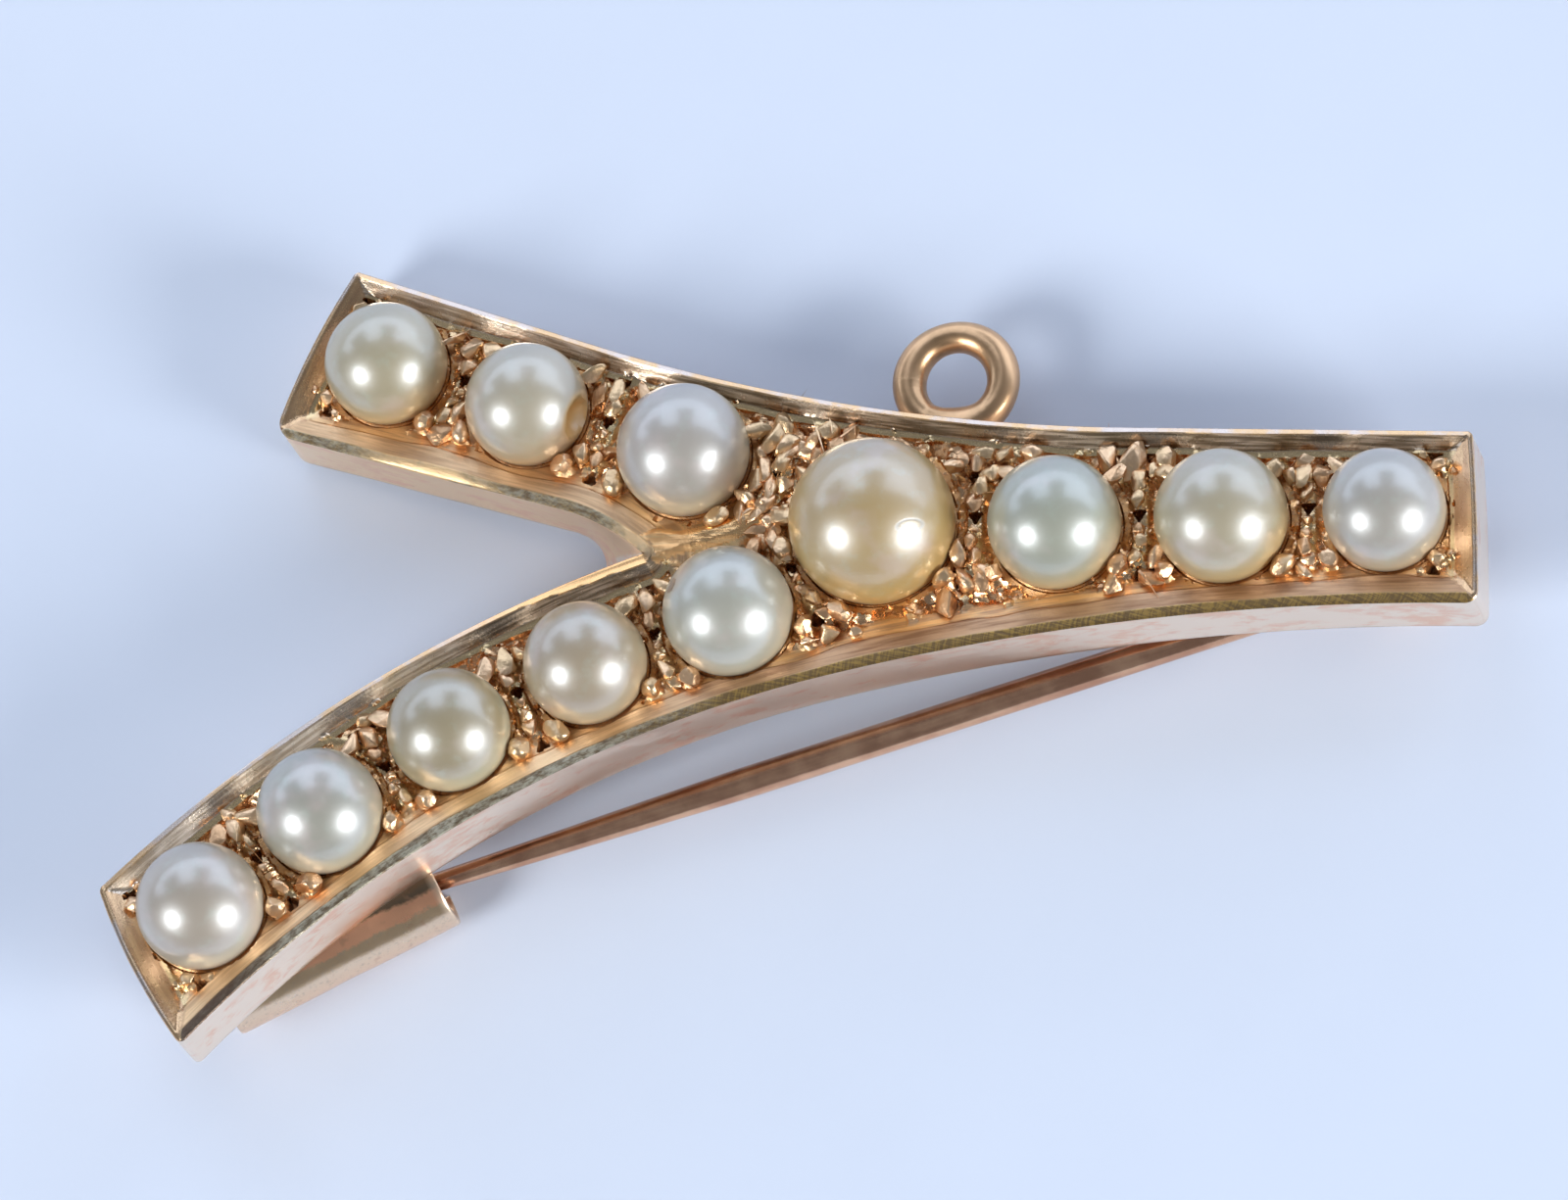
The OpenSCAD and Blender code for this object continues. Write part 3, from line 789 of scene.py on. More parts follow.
def wall_rows(rim, top):
    """Rows of the outer wall down to the back rim, slightly uneven as filed by hand."""
    inward = slope_of(rim)
    inward /= np.linalg.norm(inward, axis=1)[:, None]
    rows = [flat(rim, top)]
    for z in np.linspace(-0.14, -WALL + 0.06, 12):
        push = 0.014 * ripple(rim + z * 1.3, 1.9, 41) + 0.006 * ripple(rim + z, 0.5, 43)
        rows.append(flat(fork_fillet(rim + inward * np.maximum(push, 0)[:, None], -z / WALL), z))
    return rows + [flat(fork_fillet(rim + inward * t, 1), z - WALL) for t, z in ((0.02, 0.018), (0.06, 0))]


def on_plate(p):
    """Which points are on the plate, outside the holes behind the pearls."""
    return (inside(p) > -1e-5) & clear_of_pearls(p, -0.01, PIERCE)


def tray_shell(sizes, plan):
    """The tray's cut face, outer wall, back rim, gallery and pierced floor as one closed shell."""
    shell = Shell()
    rim = contour(0.0, RIM_STEP)
    holes = [disc(c, r * PIERCE, 0.2) for _, c, r in PEARLS]
    xy, tri = face_field(rim, holes, sizes).triangles(on_plate)
    shell.add(flat(xy, relief(xy, sizes, plan)[0]), tri.tolist())

    wall = wall_rows(rim, relief(rim, sizes, plan)[0])
    shell.band(wall, 1)
    outer, under = wall[-1][:, :2], contour(GALLERY_WALL, 0.1)
    xy, tri = Field(outer, under).triangles(lambda p: within(outer, p) & ~within(under, p))
    shell.add(flat(xy, -WALL), tri.tolist(), 2)
    shell.band([flat(under, z) for z in (-WALL, -1.77, -1.4, -1.05, BACK_FLOOR)], 2)

    floor = Field(under, *holes)
    grid = grid_over(FLOOR_PITCH)
    floor.take(grid[(inside(grid) > 0.55) & clear_of_pearls(grid, FLOOR_ROOM, PIERCE)])
    xy, tri = floor.triangles(lambda p: on_plate(p) & (inside(p) > GALLERY_WALL - 1e-3))
    shell.add(flat(xy, BACK_FLOOR), tri.tolist(), 2)
    for ring in holes:
        shell.band([flat(ring, z) for z in (BACK_FLOOR, -0.7, SEAT_LEDGE)], 2)
    return shell, rim


def rounded_slab(outline, low, high, edge=0.05):
    """A flat plate over a closed outline, with softened edges."""
    outline = np.asarray(outline, float)
    if np.cross(outline - outline.mean(0), np.roll(outline, -1, 0) - outline.mean(0)).sum() < 0:
        outline = outline[::-1]
    away = np.roll(outline, -1, 0) - np.roll(outline, 1, 0)
    inward = np.stack((-away[:, 1], away[:, 0]), -1)
    inward /= np.linalg.norm(inward, axis=1)[:, None]
    inner = outline + inward * edge
    shell = Shell()
    shell.band([flat(inner, low), flat(outline, low + edge), flat(outline, high - edge), flat(inner, high)])
    xy, tri = Field(inner).triangles(lambda mid: within(inner, mid))
    for z in (low, high):
        shell.add(flat(xy, z), tri.tolist())
    return shell


def within(poly, points):
    """Which points lie inside a polygon."""
    a, b = poly, np.roll(poly, -1, 0)
    rise = np.where(b[:, 1] == a[:, 1], 1, b[:, 1] - a[:, 1])
    out = np.zeros(len(points), bool)
    for k, q in enumerate(points):
        cross = (a[:, 1] > q[1]) != (b[:, 1] > q[1])
        x = a[:, 0] + (q[1] - a[:, 1]) / rise * (b[:, 0] - a[:, 0])
        out[k] = np.count_nonzero(cross & (x > q[0])) % 2
    return out


def nacre_rows(name, c, r, rng):
    """Rows of a button pearl, slightly uneven, from its flat base to its top."""
    low = -math.asin(min(0.99, (PEARL_BASE + PEARL_RISE) / r))
    steps, sides = PEARL_STEPS
    axes = rng.normal(size=(4, 3))
    axes /= np.linalg.norm(axes, axis=1)[:, None]
    phases = rng.uniform(0, 6.28, 4)
    rows = []
    for u in lathe([(math.cos(a), math.sin(a)) for a in np.linspace(low, math.pi / 2 - 0.02, steps)], sides):
        waves = sum(np.cos(2.2 * (u @ axis) + phase) for axis, phase in zip(axes, phases))
        bulge = 1 - 0.004 * (1 + waves / 4)
        if name == NOTCHED:
            along = u @ NOTCH * NOTCH_FAR
            depth = along ** 2 - NOTCH_FAR ** 2 + NOTCH_R ** 2
            scoop = along - np.sqrt(np.maximum(depth, 0))
            bulge = np.where((depth > 0) & (along > 0), np.minimum(bulge, scoop), bulge)
        if name == CHIPPED:
            bulge -= 0.03 * np.exp(-(((u - CHIP) ** 2).sum(1)) / 0.01)
        rows.append(u * (bulge * r)[:, None] + (*c, PEARL_RISE))
    return rows


def lathe(profile, n):
    """Rows of a turned shape: profile is radius and height, from one end to the other."""
    a = spokes(n)
    return [np.column_stack((r * np.cos(a), r * np.sin(a), np.full(n, z))) for r, z in profile]


def loop_rows():
    """Rows around the loop's wire, swollen by solder at its foot."""
    rows, v = [], spokes(LOOP_STEPS[1])
    for u in spokes(LOOP_STEPS[0]):
        foot = max(0.0, -math.sin(u) - 0.72) / 0.28
        swell = 1 + 0.22 * foot ** 1.5 - 0.03 * math.cos(3 * u + 1)
        # the inner side is worn a little flat opposite the solder
        flatten = 1 - 0.09 * np.clip(-np.cos(v), 0, 1) ** 2 * max(0.0, math.sin(u))
        r = LOOP_WIRE * 0.985 * swell * flatten
        out = LOOP_RING + r * np.cos(v)
        rows.append(np.column_stack((LOOP_AT[0] + out * math.cos(u), LOOP_AT[1] + out * math.sin(u),
                                     -WALL / 2 + np.minimum(r, LOOP_WIRE) * np.sin(v))))
    return rows + [rows[0]]


def catch_rows():
    """Rows of the rolled sheet from end to end: its outer side, rounded lip and inner side."""
    steps, around, lip = CATCH_STEPS
    first, last = CATCH_SPAN
    half = CATCH_T / 2
    mid = CATCH_R - half
    section = [(a, half) for a in np.linspace(first, last, around)]
    section += [(last + math.sin(x) * half / mid * 0.9, half * math.cos(x))
                for x in np.linspace(0, math.pi, lip)[1:-1]]
    section += [(a, -half) for a in np.linspace(last, first, around)]
    spans = [0, 0.02, 0.07, *np.linspace(0.25, CATCH_LEN - 0.25, steps)]
    rows = []
    for x in spans + [CATCH_LEN - 0.07, CATCH_LEN - 0.02, CATCH_LEN]:
        thin = 1 - 0.35 * max(0.0, 1 - min(x, CATCH_LEN - x) / 0.07) ** 2
        row = []
        for a, h in section:
            dent = 0.012 * math.sin(x * 1.3 + a * 2.1) + 0.008 * math.sin(x * 3.1 - a * 1.4)
            r = mid + h * thin + min(0.0, dent)
            row.append((-x, r * math.cos(a), r * math.sin(a)))
        rows.append(np.array(row))
    return rows


def pin_rows():
    """Rows of the tapered wire and its rounded point."""
    steps, sides = PIN_STEPS
    a = spokes(sides)
    taper = ((0.0, PIN_R * 0.98), (PIN_LEN * 0.6, PIN_R), (PIN_LEN - 3.5, PIN_NECK), (PIN_LEN, PIN_POINT))
    tip = PIN_LEN + PIN_POINT * np.sin(np.linspace(0.3, 1.35, 5))
    rows = []
    for x in np.concatenate((np.linspace(0.3, PIN_LEN, steps), tip)):
        r = float(np.interp(x, *zip(*taper)))
        if x > PIN_LEN:
            r = math.sqrt(max(1e-5, PIN_POINT ** 2 - (x - PIN_LEN) ** 2))
        # drawn by hand: faint flats and a slight bend
        uneven = 1 + 0.012 * np.cos(2 * a + x * 0.2) + 0.006 * np.cos(5 * a + x * 0.9)
        bend = 0.06 * math.sin(math.pi * min(1.0, x / PIN_LEN))
        rows.append(np.column_stack((np.full(sides, -x), bend + r * uneven * np.cos(a),
                                     r * uneven * np.sin(a))))
    return rows


def plate_outlines():
    """Outlines of the plates that close the back under the catch and under the hinge."""
    ring = contour(GALLERY_WALL - 0.03, 0.15)
    tip = ring[(ring[:, 0] < CATCH_PLATE[0]) & (ring[:, 1] < CATCH_PLATE[1])]
    start = np.argmax(np.linalg.norm(np.roll(tip, 1, 0) - tip, axis=1))
    span = ring[(ring[:, 0] > HINGE_PLATE[0]) & (ring[:, 0] < HINGE_PLATE[1])]
    top, low = [side[np.argsort(side[:, 0])] for side in (span[span[:, 1] > 0], span[span[:, 1] <= 0])]
    return {"catch_plate": np.roll(tip, -start, 0), "hinge_plate": np.vstack((top, low[::-1]))}


# The hinge's frame: Z on its axis, the pin along -X
HINGE_PLACE = (Matrix.Translation(HINGE) @ Matrix.Rotation(math.radians(PIN_TURN), 4, "Z")
               @ Matrix.Rotation(math.radians(HINGE_LEAN - 90), 4, "X"))


# Finishes


class Wire:
    """A socket whose arithmetic adds Math nodes to its finish."""

    def __init__(self, finish, socket):
        self.finish, self.socket = finish, socket

    def math(self, operation, *terms):
        return self.finish.node("ShaderNodeMath", {"operation": operation}, dict(enumerate(terms)))

    def __add__(self, other):
        return self.math("ADD", self, other)

    def __sub__(self, other):
        return self.math("SUBTRACT", self, other)

    def __rsub__(self, other):
        return self.math("SUBTRACT", other, self)

    def __mul__(self, other):
        return self.math("MULTIPLY", self, other)

    def __pow__(self, other):
        return self.math("POWER", self, other)

    __radd__, __rmul__ = __add__, __mul__

    def step(self, low, high):
        """0 below low, 1 above high, smooth between."""
        return self.finish.node("ShaderNodeMapRange", {"interpolation_type": "SMOOTHSTEP"},
                                {"Value": self, "From Min": low, "From Max": high})


class Finish:
    """A material around one Principled shader. Values set once go straight onto its sockets."""

    def __init__(self, name, **fixed):
        self.material = bpy.data.materials.new(name)
        self.material.use_nodes = True
        self.tree = self.material.node_tree
        self.shader = next(n for n in self.tree.nodes if n.type == "BSDF_PRINCIPLED")
        for key, value in fixed.items():
            self.shader.inputs[key.replace("_", " ").title().replace("Ior", "IOR")].default_value = value

    def node(self, kind, settings=None, inputs=None, out=0):
        made = self.tree.nodes.new(kind)
        for key, value in (settings or {}).items():
            if key == "stops":
                while len(made.color_ramp.elements) < len(value):
                    made.color_ramp.elements.new(0.5)
                for stop, (at, color) in zip(made.color_ramp.elements, value):
                    stop.position, stop.color = at, (*color, 1.0)
            else:
                setattr(made, key, value)
        for key, value in (inputs or {}).items():
            if isinstance(value, Wire):
                self.tree.links.new(value.socket, made.inputs[key])
            else:
                made.inputs[key].default_value = value
        return Wire(self, made.outputs[out])

    def vector(self, operation, a, b, out=0):
        return self.node("ShaderNodeVectorMath", {"operation": operation}, {0: a, 1: b}, out)

    def place(self, stretch=(1, 1, 1)):
        """The point's place in millimetres, stretched along each axis."""
        return self.vector("MULTIPLY", self.node("ShaderNodeTexCoord", out="Object"),
                           tuple(k / MM for k in stretch))

    def way(self):
        """Length along the rim or wire, and distance from it."""
        return self.node("ShaderNodeAttribute", {"attribute_name": "way"}, out="Vector")

    def hatched(self, angle, stretch):
        """The way, turned by an angle and stretched."""
        return self.node("ShaderNodeMapping", {"vector_type": "TEXTURE"},
                         {"Vector": self.way(), "Rotation": (0, 0, math.radians(angle)),
                          "Scale": tuple(1 / k for k in stretch)})

    def mark(self, name):
        return self.node("ShaderNodeAttribute", {"attribute_name": name}, out="Fac")

    def noise(self, vector, scale, detail=3.0, rough=0.55, distort=0.0):
        return self.node("ShaderNodeTexNoise", {}, {"Vector": vector, "Scale": scale, "Detail": detail,
                                                    "Roughness": rough, "Distortion": distort})

    def cloud(self, scale, detail=3.0, rough=0.55):
        """Noise, even in every direction."""
        return self.noise(self.place(), scale, detail, rough)

    def lines(self, stretch, detail=3.0, rough=0.55, distort=0.0):
        """Noise drawn out along the rim or wire."""
        return self.noise(self.vector("MULTIPLY", self.way(), stretch), 1.0, detail, rough, distort)

    def mix(self, factor, a, b):
        tones = {k: v if isinstance(v, Wire) else (*v, 1.0) for k, v in ((6, a), (7, b))}
        return self.node("ShaderNodeMix", {"data_type": "RGBA"}, {0: factor, **tones}, 2)

    def bump(self, height, depth, base=None):
        """Relief of so many millimetres from a height of 0 to 1."""
        inputs = {"Height": height, "Distance": depth * MM, "Strength": 1.0}
        if base is not None:
            inputs["Normal"] = base
        return self.node("ShaderNodeBump", {}, inputs)

    def feed(self, **links):
        for key, wire in links.items():
            name = key.replace("_", " ").title()
            self.tree.links.new(wire.socket, self.shader.inputs[name])
        return self.material


def cut_gold(tones):
    """Face of the tray: hatched and polished rims, bright-cut slopes and coppery recesses."""
    f = Finish("Cut gold", metallic=1.0)
    cloud, speck, line = f.cloud(1.1), f.cloud(9.0), f.lines((0.7, 15.0, 0.0))
    broad, at_end, rim, bevel, grey, worn, web = [
        f.mark(name) for name in ("broad", "at_end", "flat", "bevel", "grey", "worn", "web")]
    metal = f.mix(cloud.step(0.35, 0.65), tones.gold, tones.gold_yellow)
    metal = f.mix((f.mark("depth") * (0.4 + speck)).step(0.15, 0.6), metal, tones.copper)
    # broad slopes and the ends' bevels, then the polished narrow bevels
    soft = f.lines((0.45, 4.5, 0.0)) * 0.65 + line * 0.35
    slope = f.mix(soft.step(0.38, 0.6), tones.slope_dark, tones.slope)
    # partly painted light: the strip beside the pearls is lighter, offsetting the pearls' shade on it as well
    # as its own brighter zone
    slope = f.mix(f.mark("upper"), slope, f.mix(soft.step(0.4, 0.56), tones.slope, tones.slope_up_painted_light))
    slope = f.mix(grey * broad * 0.8, slope, f.mix(soft.step(0.4, 0.6), tones.gold, tones.slope_pale))
    slope = f.mix(at_end, slope, f.mix(soft.step(0.4, 0.62), tones.slope, tones.gold))
    olive = f.mix(line.step(0.4, 0.62), f.mix(worn, tones.olive_dark_and_reflection, tones.olive),
                  f.mix(worn, tones.olive, tones.bevel_pale))
    metal = f.mix(bevel, metal, f.mix((broad + at_end).step(0.2, 0.8), olive, slope))
    metal = f.mix(f.mark("ledge") * 0.8, metal, tones.gold_yellow)
    striated = f.noise(f.place((0.9, 9.0, 1.0)), 1.0, 3.0, 0.6, 0.4)
    metal = f.mix(web, metal, f.mix(striated.step(0.36, 0.52), tones.slope_up_painted_light, tones.amber))
    # broad rims, hatched two ways, then the narrow ones
    scratch = f.noise(f.hatched(68, (1.6, 17.0, 1.0)), 1.0) * 0.5
    scratch = scratch + f.noise(f.hatched(-24, (1.2, 19.0, 1.0)), 1.0) * 0.5
    blotch = f.lines((2.6, 7.0, 0.0), 5.0, 0.75)
    green = f.mix(scratch.step(0.44, 0.58), tones.rim_dark, tones.rim_green)
    green = f.mix(grey * 0.9, green, f.mix(blotch.step(0.38, 0.62), tones.olive_dark_and_reflection, tones.rim_grey))
    # painted highlight: the flash stretches of the upper arm's rim take a bright tone
    green = f.mix(f.mark("flash") * cloud.step(0.3, 0.5), green, tones.rim_painted_highlight)
    # painted dark reflection on the rim at the lower arm's end
    green = f.mix(f.mark("dusk") * (0.75 + speck * 0.3), green, tones.rim_dark_reflection)
    pale = f.mix(f.mark("warm"), f.mix(cloud.step(0.4, 0.6), tones.rim_pale, tones.gold), tones.amber)
    metal = f.mix(rim, metal, f.mix(broad, pale, green))
    # partly painted light: the seat beside each pearl is bright amber and copper, its own orange raised to
    # stand for the pearl's light on it over the shade there
    metal = f.mix(f.mark("collar"), metal, f.mix(speck.step(0.4, 0.7), tones.amber, tones.copper))
    # painted shade in the pits, with a few dark specks beyond them, and relief
    pit_shade = (f.mark("pit") + (speck - 0.5) * 1.2).step(0.35, 0.85)
    metal = f.mix(pit_shade * 0.85, metal, tones.grime_and_shade)
    low = f.bump(line, 0.0025)
    low = f.bump(scratch * rim * broad, 0.009, low)
    low = f.bump(striated * web.step(0.3, 1.0), 0.011, low)
    low = f.bump(blotch * rim * grey, 0.03, low)
    return f.feed(base_color=metal, roughness=0.2 + bevel * broad * 0.15 + rim * broad * 0.14 + speck * 0.12,
                  normal=f.bump(speck * (1 - rim), 0.006, low))


def wall_gold(tones):
    """Outer wall: pale rose, satin, with coppery mottling and a few dents."""
    f = Finish("Wall gold", metallic=1.0)
    cloud, blot = f.cloud(0.55, 4.0, 0.6), f.lines((0.9, 1.0, 2.2), 4.0, 0.7, 0.6)
    tone = f.mix(f.mark("rosy") * 0.8, tones.wall_pale, tones.wall_gold)
    tone = f.mix((cloud * 0.45 + blot * 0.55).step(0.48, 0.6) * 0.8, tone, tones.wall_rose)
    tone = f.mix(f.lines((2.2, 1.0, 7.0), 2.0, 0.5).step(0.76, 0.8), tone, tones.grime_and_shade)
    low = f.bump(f.lines((1.4, 14.0, 14.0)), 0.0022)
    return f.feed(base_color=tone, roughness=0.26 + cloud * 0.14, normal=f.bump(blot, 0.012, low))


def back_gold(tones):
    """Back, gallery and hinge: plain filed metal, mottled with rose and copper."""
    f = Finish("Back gold", metallic=1.0)
    cloud = f.cloud(0.6, 4.0)
    fine = f.noise(f.place((1.0, 9.0, 2.0)), 1.6)
    tone = f.mix(cloud.step(0.35, 0.7), tones.gold, tones.wall_rose)
    tone = f.mix(f.cloud(2.6, 4.0).step(0.55, 0.8) * 0.6, tone, tones.copper)
    return f.feed(base_color=tone, roughness=0.26 + cloud * 0.2, normal=f.bump(fine, 0.002))


def grain_gold(tones):
    """Grains and chips: rosy tops, yellower facets, and painted shade toward the roots, coppery sides and
    dark bottoms.
    """
    f = Finish("Grain gold", metallic=1.0)
    root, cast = f.mark("root"), f.mark("cast")
    cloud, speck = f.cloud(2.0, 2.0), f.cloud(11.0)
    tone = f.mix((cast * 0.6 + cloud * 0.9).step(0.72, 0.95), tones.grain, tones.grain_green)
    tone = f.mix((0.3 - cast).step(0.0, 0.15), tone, tones.copper)
    # painted shade: the lower a point sits between the grains, the more it turns coppery and then dark
    tone = f.mix((root + (speck - 0.5) * 0.5).step(0.35, 0.85), tone, tones.copper)
    tone = f.mix((root + (speck - 0.5) * 0.7).step(0.75, 1.0), tone, tones.grime_and_shade)
    cells = f.node("ShaderNodeTexVoronoi", {}, {"Vector": f.place(), "Scale": 5.0}, "Distance")
    height = speck * 0.6 + cells * 0.4
    return f.feed(base_color=tone, roughness=0.24 + speck * 0.22, normal=f.bump(height, 0.024))


def wire_gold(name, light, deep, streak, rough=0.17):
    """Drawn wire: tone runs in faint streaks along it, worn where it is handled."""
    f = Finish(name, metallic=1.0)
    run, cloud = f.lines(streak, 3.0, 0.5), f.cloud(0.8, 4.0, 0.6)
    tone = f.mix((run * 0.35 + cloud * 0.65).step(0.38, 0.64), deep, light)
    tone = f.mix(f.mark("worn"), tone, light)
    normal = f.bump(f.cloud(7.0), 0.0035, f.bump(run, 0.003))
    return f.feed(base_color=tone, roughness=rough + cloud * 0.1, normal=normal)


def catch_gold(tones):
    """Rolled tube: painted reflections run along it in bands of dark olive, copper, greenish and pale gold,
    with a painted highlight at the end where the pin enters.
    """
    f = Finish("Catch gold", metallic=1.0)
    cloud, speck, run = f.cloud(0.8, 4.0, 0.6), f.cloud(8.0, 3.0, 0.6), f.lines((0.25, 3.5, 0.0))
    around = f.mark("around")
    at = around + (run - 0.5) * 0.06 + (cloud - 0.5) * 0.08 + (speck - 0.5) * 0.05
    # painted reflection: bands of light and shade follow the angle around the tube, dark on top, then copper,
    # greenish and pale, out to the pin's tone
    bands = ((0.0, tones.olive_dark_and_reflection), (0.10, tones.olive_dark_and_reflection), (0.13, tones.catch_copper_reflection),
             (0.22, tones.catch_copper_reflection), (0.24, tones.catch_green_reflection), (0.33, tones.catch_green_reflection),
             (0.37, tones.catch_pale_reflection), (1.0, tones.pin))
    tone = f.node("ShaderNodeValToRGB", {"stops": bands}, {"Fac": at})
    # painted highlight: the end where the pin enters is painted pale
    tone = f.mix(f.mark("worn") * 0.8, tone, tones.catch_pale_reflection)
    tone = f.mix(f.cloud(3.0).step(0.6, 0.75) * 0.4, tone, tones.pin_dark)
    tone = f.mix(speck.step(0.5, 0.75) * 0.5 * (around - 0.2).step(0.0, 0.04), tone, tones.olive)
    normal = f.bump(cloud * 0.7 + speck * 0.3, 0.012, f.bump(run, 0.003))
    return f.feed(base_color=tone, roughness=0.2 + cloud * 0.2, normal=normal)


# Tones that all the pearls share
ROSY_CLOUD, GREEN_CLOUD, SPOT_TONE = (0.60, 0.44, 0.40), (0.42, 0.52, 0.42), (0.22, 0.14, 0.07)
STAIN_TONE, CHIP_TONE, SCRATCH_TONE = (0.95, 0.52, 0.13), (0.10, 0.07, 0.05), (0.28, 0.23, 0.17)


def pearl_finish(name, body, edge, seed, scar=None):
    """Nacre: a cream body, painted lighter and warmer toward its seat as reflected gold and glow, under a
    broad soft lustre and a clear skin.
    """
    f = Finish(name, roughness=0.4, ior=3.0, coat_weight=1.0, coat_roughness=0.2, coat_ior=1.6)
    shift = f.vector("ADD", f.place(), (seed * 7.3, seed * 3.1, 0.0))
    cloud, wrinkle, spot = f.noise(shift, 0.7), f.noise(shift, 2.4, 4.0, 0.6), f.noise(shift, 6.0, 2.0)
    # painted light: the tone grows lighter and warmer toward the seat, as reflected gold and glow through the
    # nacre lifting the shaded sides
    tone = f.mix((f.mark("girdle") + (cloud - 0.5) * 0.35).step(0.25, 0.95), body, edge)
    tone = f.mix(cloud.step(0.5, 0.7) * 0.35, tone, ROSY_CLOUD)
    tone = f.mix(wrinkle.step(0.5, 0.75) * 0.2, tone, GREEN_CLOUD)
    tone = f.mix(spot.step(0.8, 0.84) * f.mark("blemish"), tone, SPOT_TONE)
    tone = f.mix(f.mark("stain"), tone, STAIN_TONE)
    tone = f.mix((f.mark("chip") * 1.3 + (spot - 0.5) * 0.8).step(0.4, 0.55), tone, CHIP_TONE)
    skin = f.bump(cloud * 0.7 + wrinkle * 0.3, 0.012)
    if scar:
        middle, long, wide = scar
        out = f.vector("SUBTRACT", f.place(), middle)
        along, across = [f.vector("DOT_PRODUCT", out, axis, 1) for axis in (long, wide)]
        around = (along ** 2 + across ** 2) ** 0.5
        groove = around.step(0.7, 0.95) - around.step(1.0, 1.25)
        tone = f.mix(groove * 0.8, tone, SCRATCH_TONE)
        skin = f.bump(groove, -0.002, skin)
    return f.feed(base_color=tone, normal=skin)


def floor_finish(tone):
    """Pale matt floor with the faintest mottling."""
    f = Finish("Pale floor", roughness=0.75)
    f.shader.inputs["Specular IOR Level"].default_value = 0.2
    fleck = f.cloud(0.16, 2.0, 0.6).step(0.3, 0.7)
    return f.feed(base_color=f.mix(fleck * 0.35, tone, tuple(c * 0.965 for c in tone)))


# Settings


def length(name, text, default, low, high):
    """A length that is given in millimetres and kept in metres."""
    return FloatProperty(name=name, description=text, default=default * MM, min=low * MM, max=high * MM,
                         unit="LENGTH", subtype="DISTANCE", precision=5)


def tone(name, text, default):
    return FloatVectorProperty(name=name, description=text, default=default, subtype="COLOR", size=3,
                               min=0.0, max=1.0)


class BROOCH_PG_sizes(PropertyGroup):
    rim_narrow: length("Narrow rim", "Flat of the rim along the top edges", 0.13, 0.08, 0.25)
    rim_broad: length("Broad rim", "Flat of the rim along the lower edges", 0.25, 0.15, 0.35)
    bevel_short: length("Short bevel", "Width of the steep inner bevel", 0.31, 0.2, 0.5)
    bevel_long: length("Long bevel", "Width of the shallow inner slope", 0.84, 0.5, 1.0)
    tray_depth: length("Tray depth", "Depth of the tray's floor", 0.3, 0.2, 0.4)
    grain: length("Grain", "Radius of a raised grain", 0.22, 0.14, 0.26)


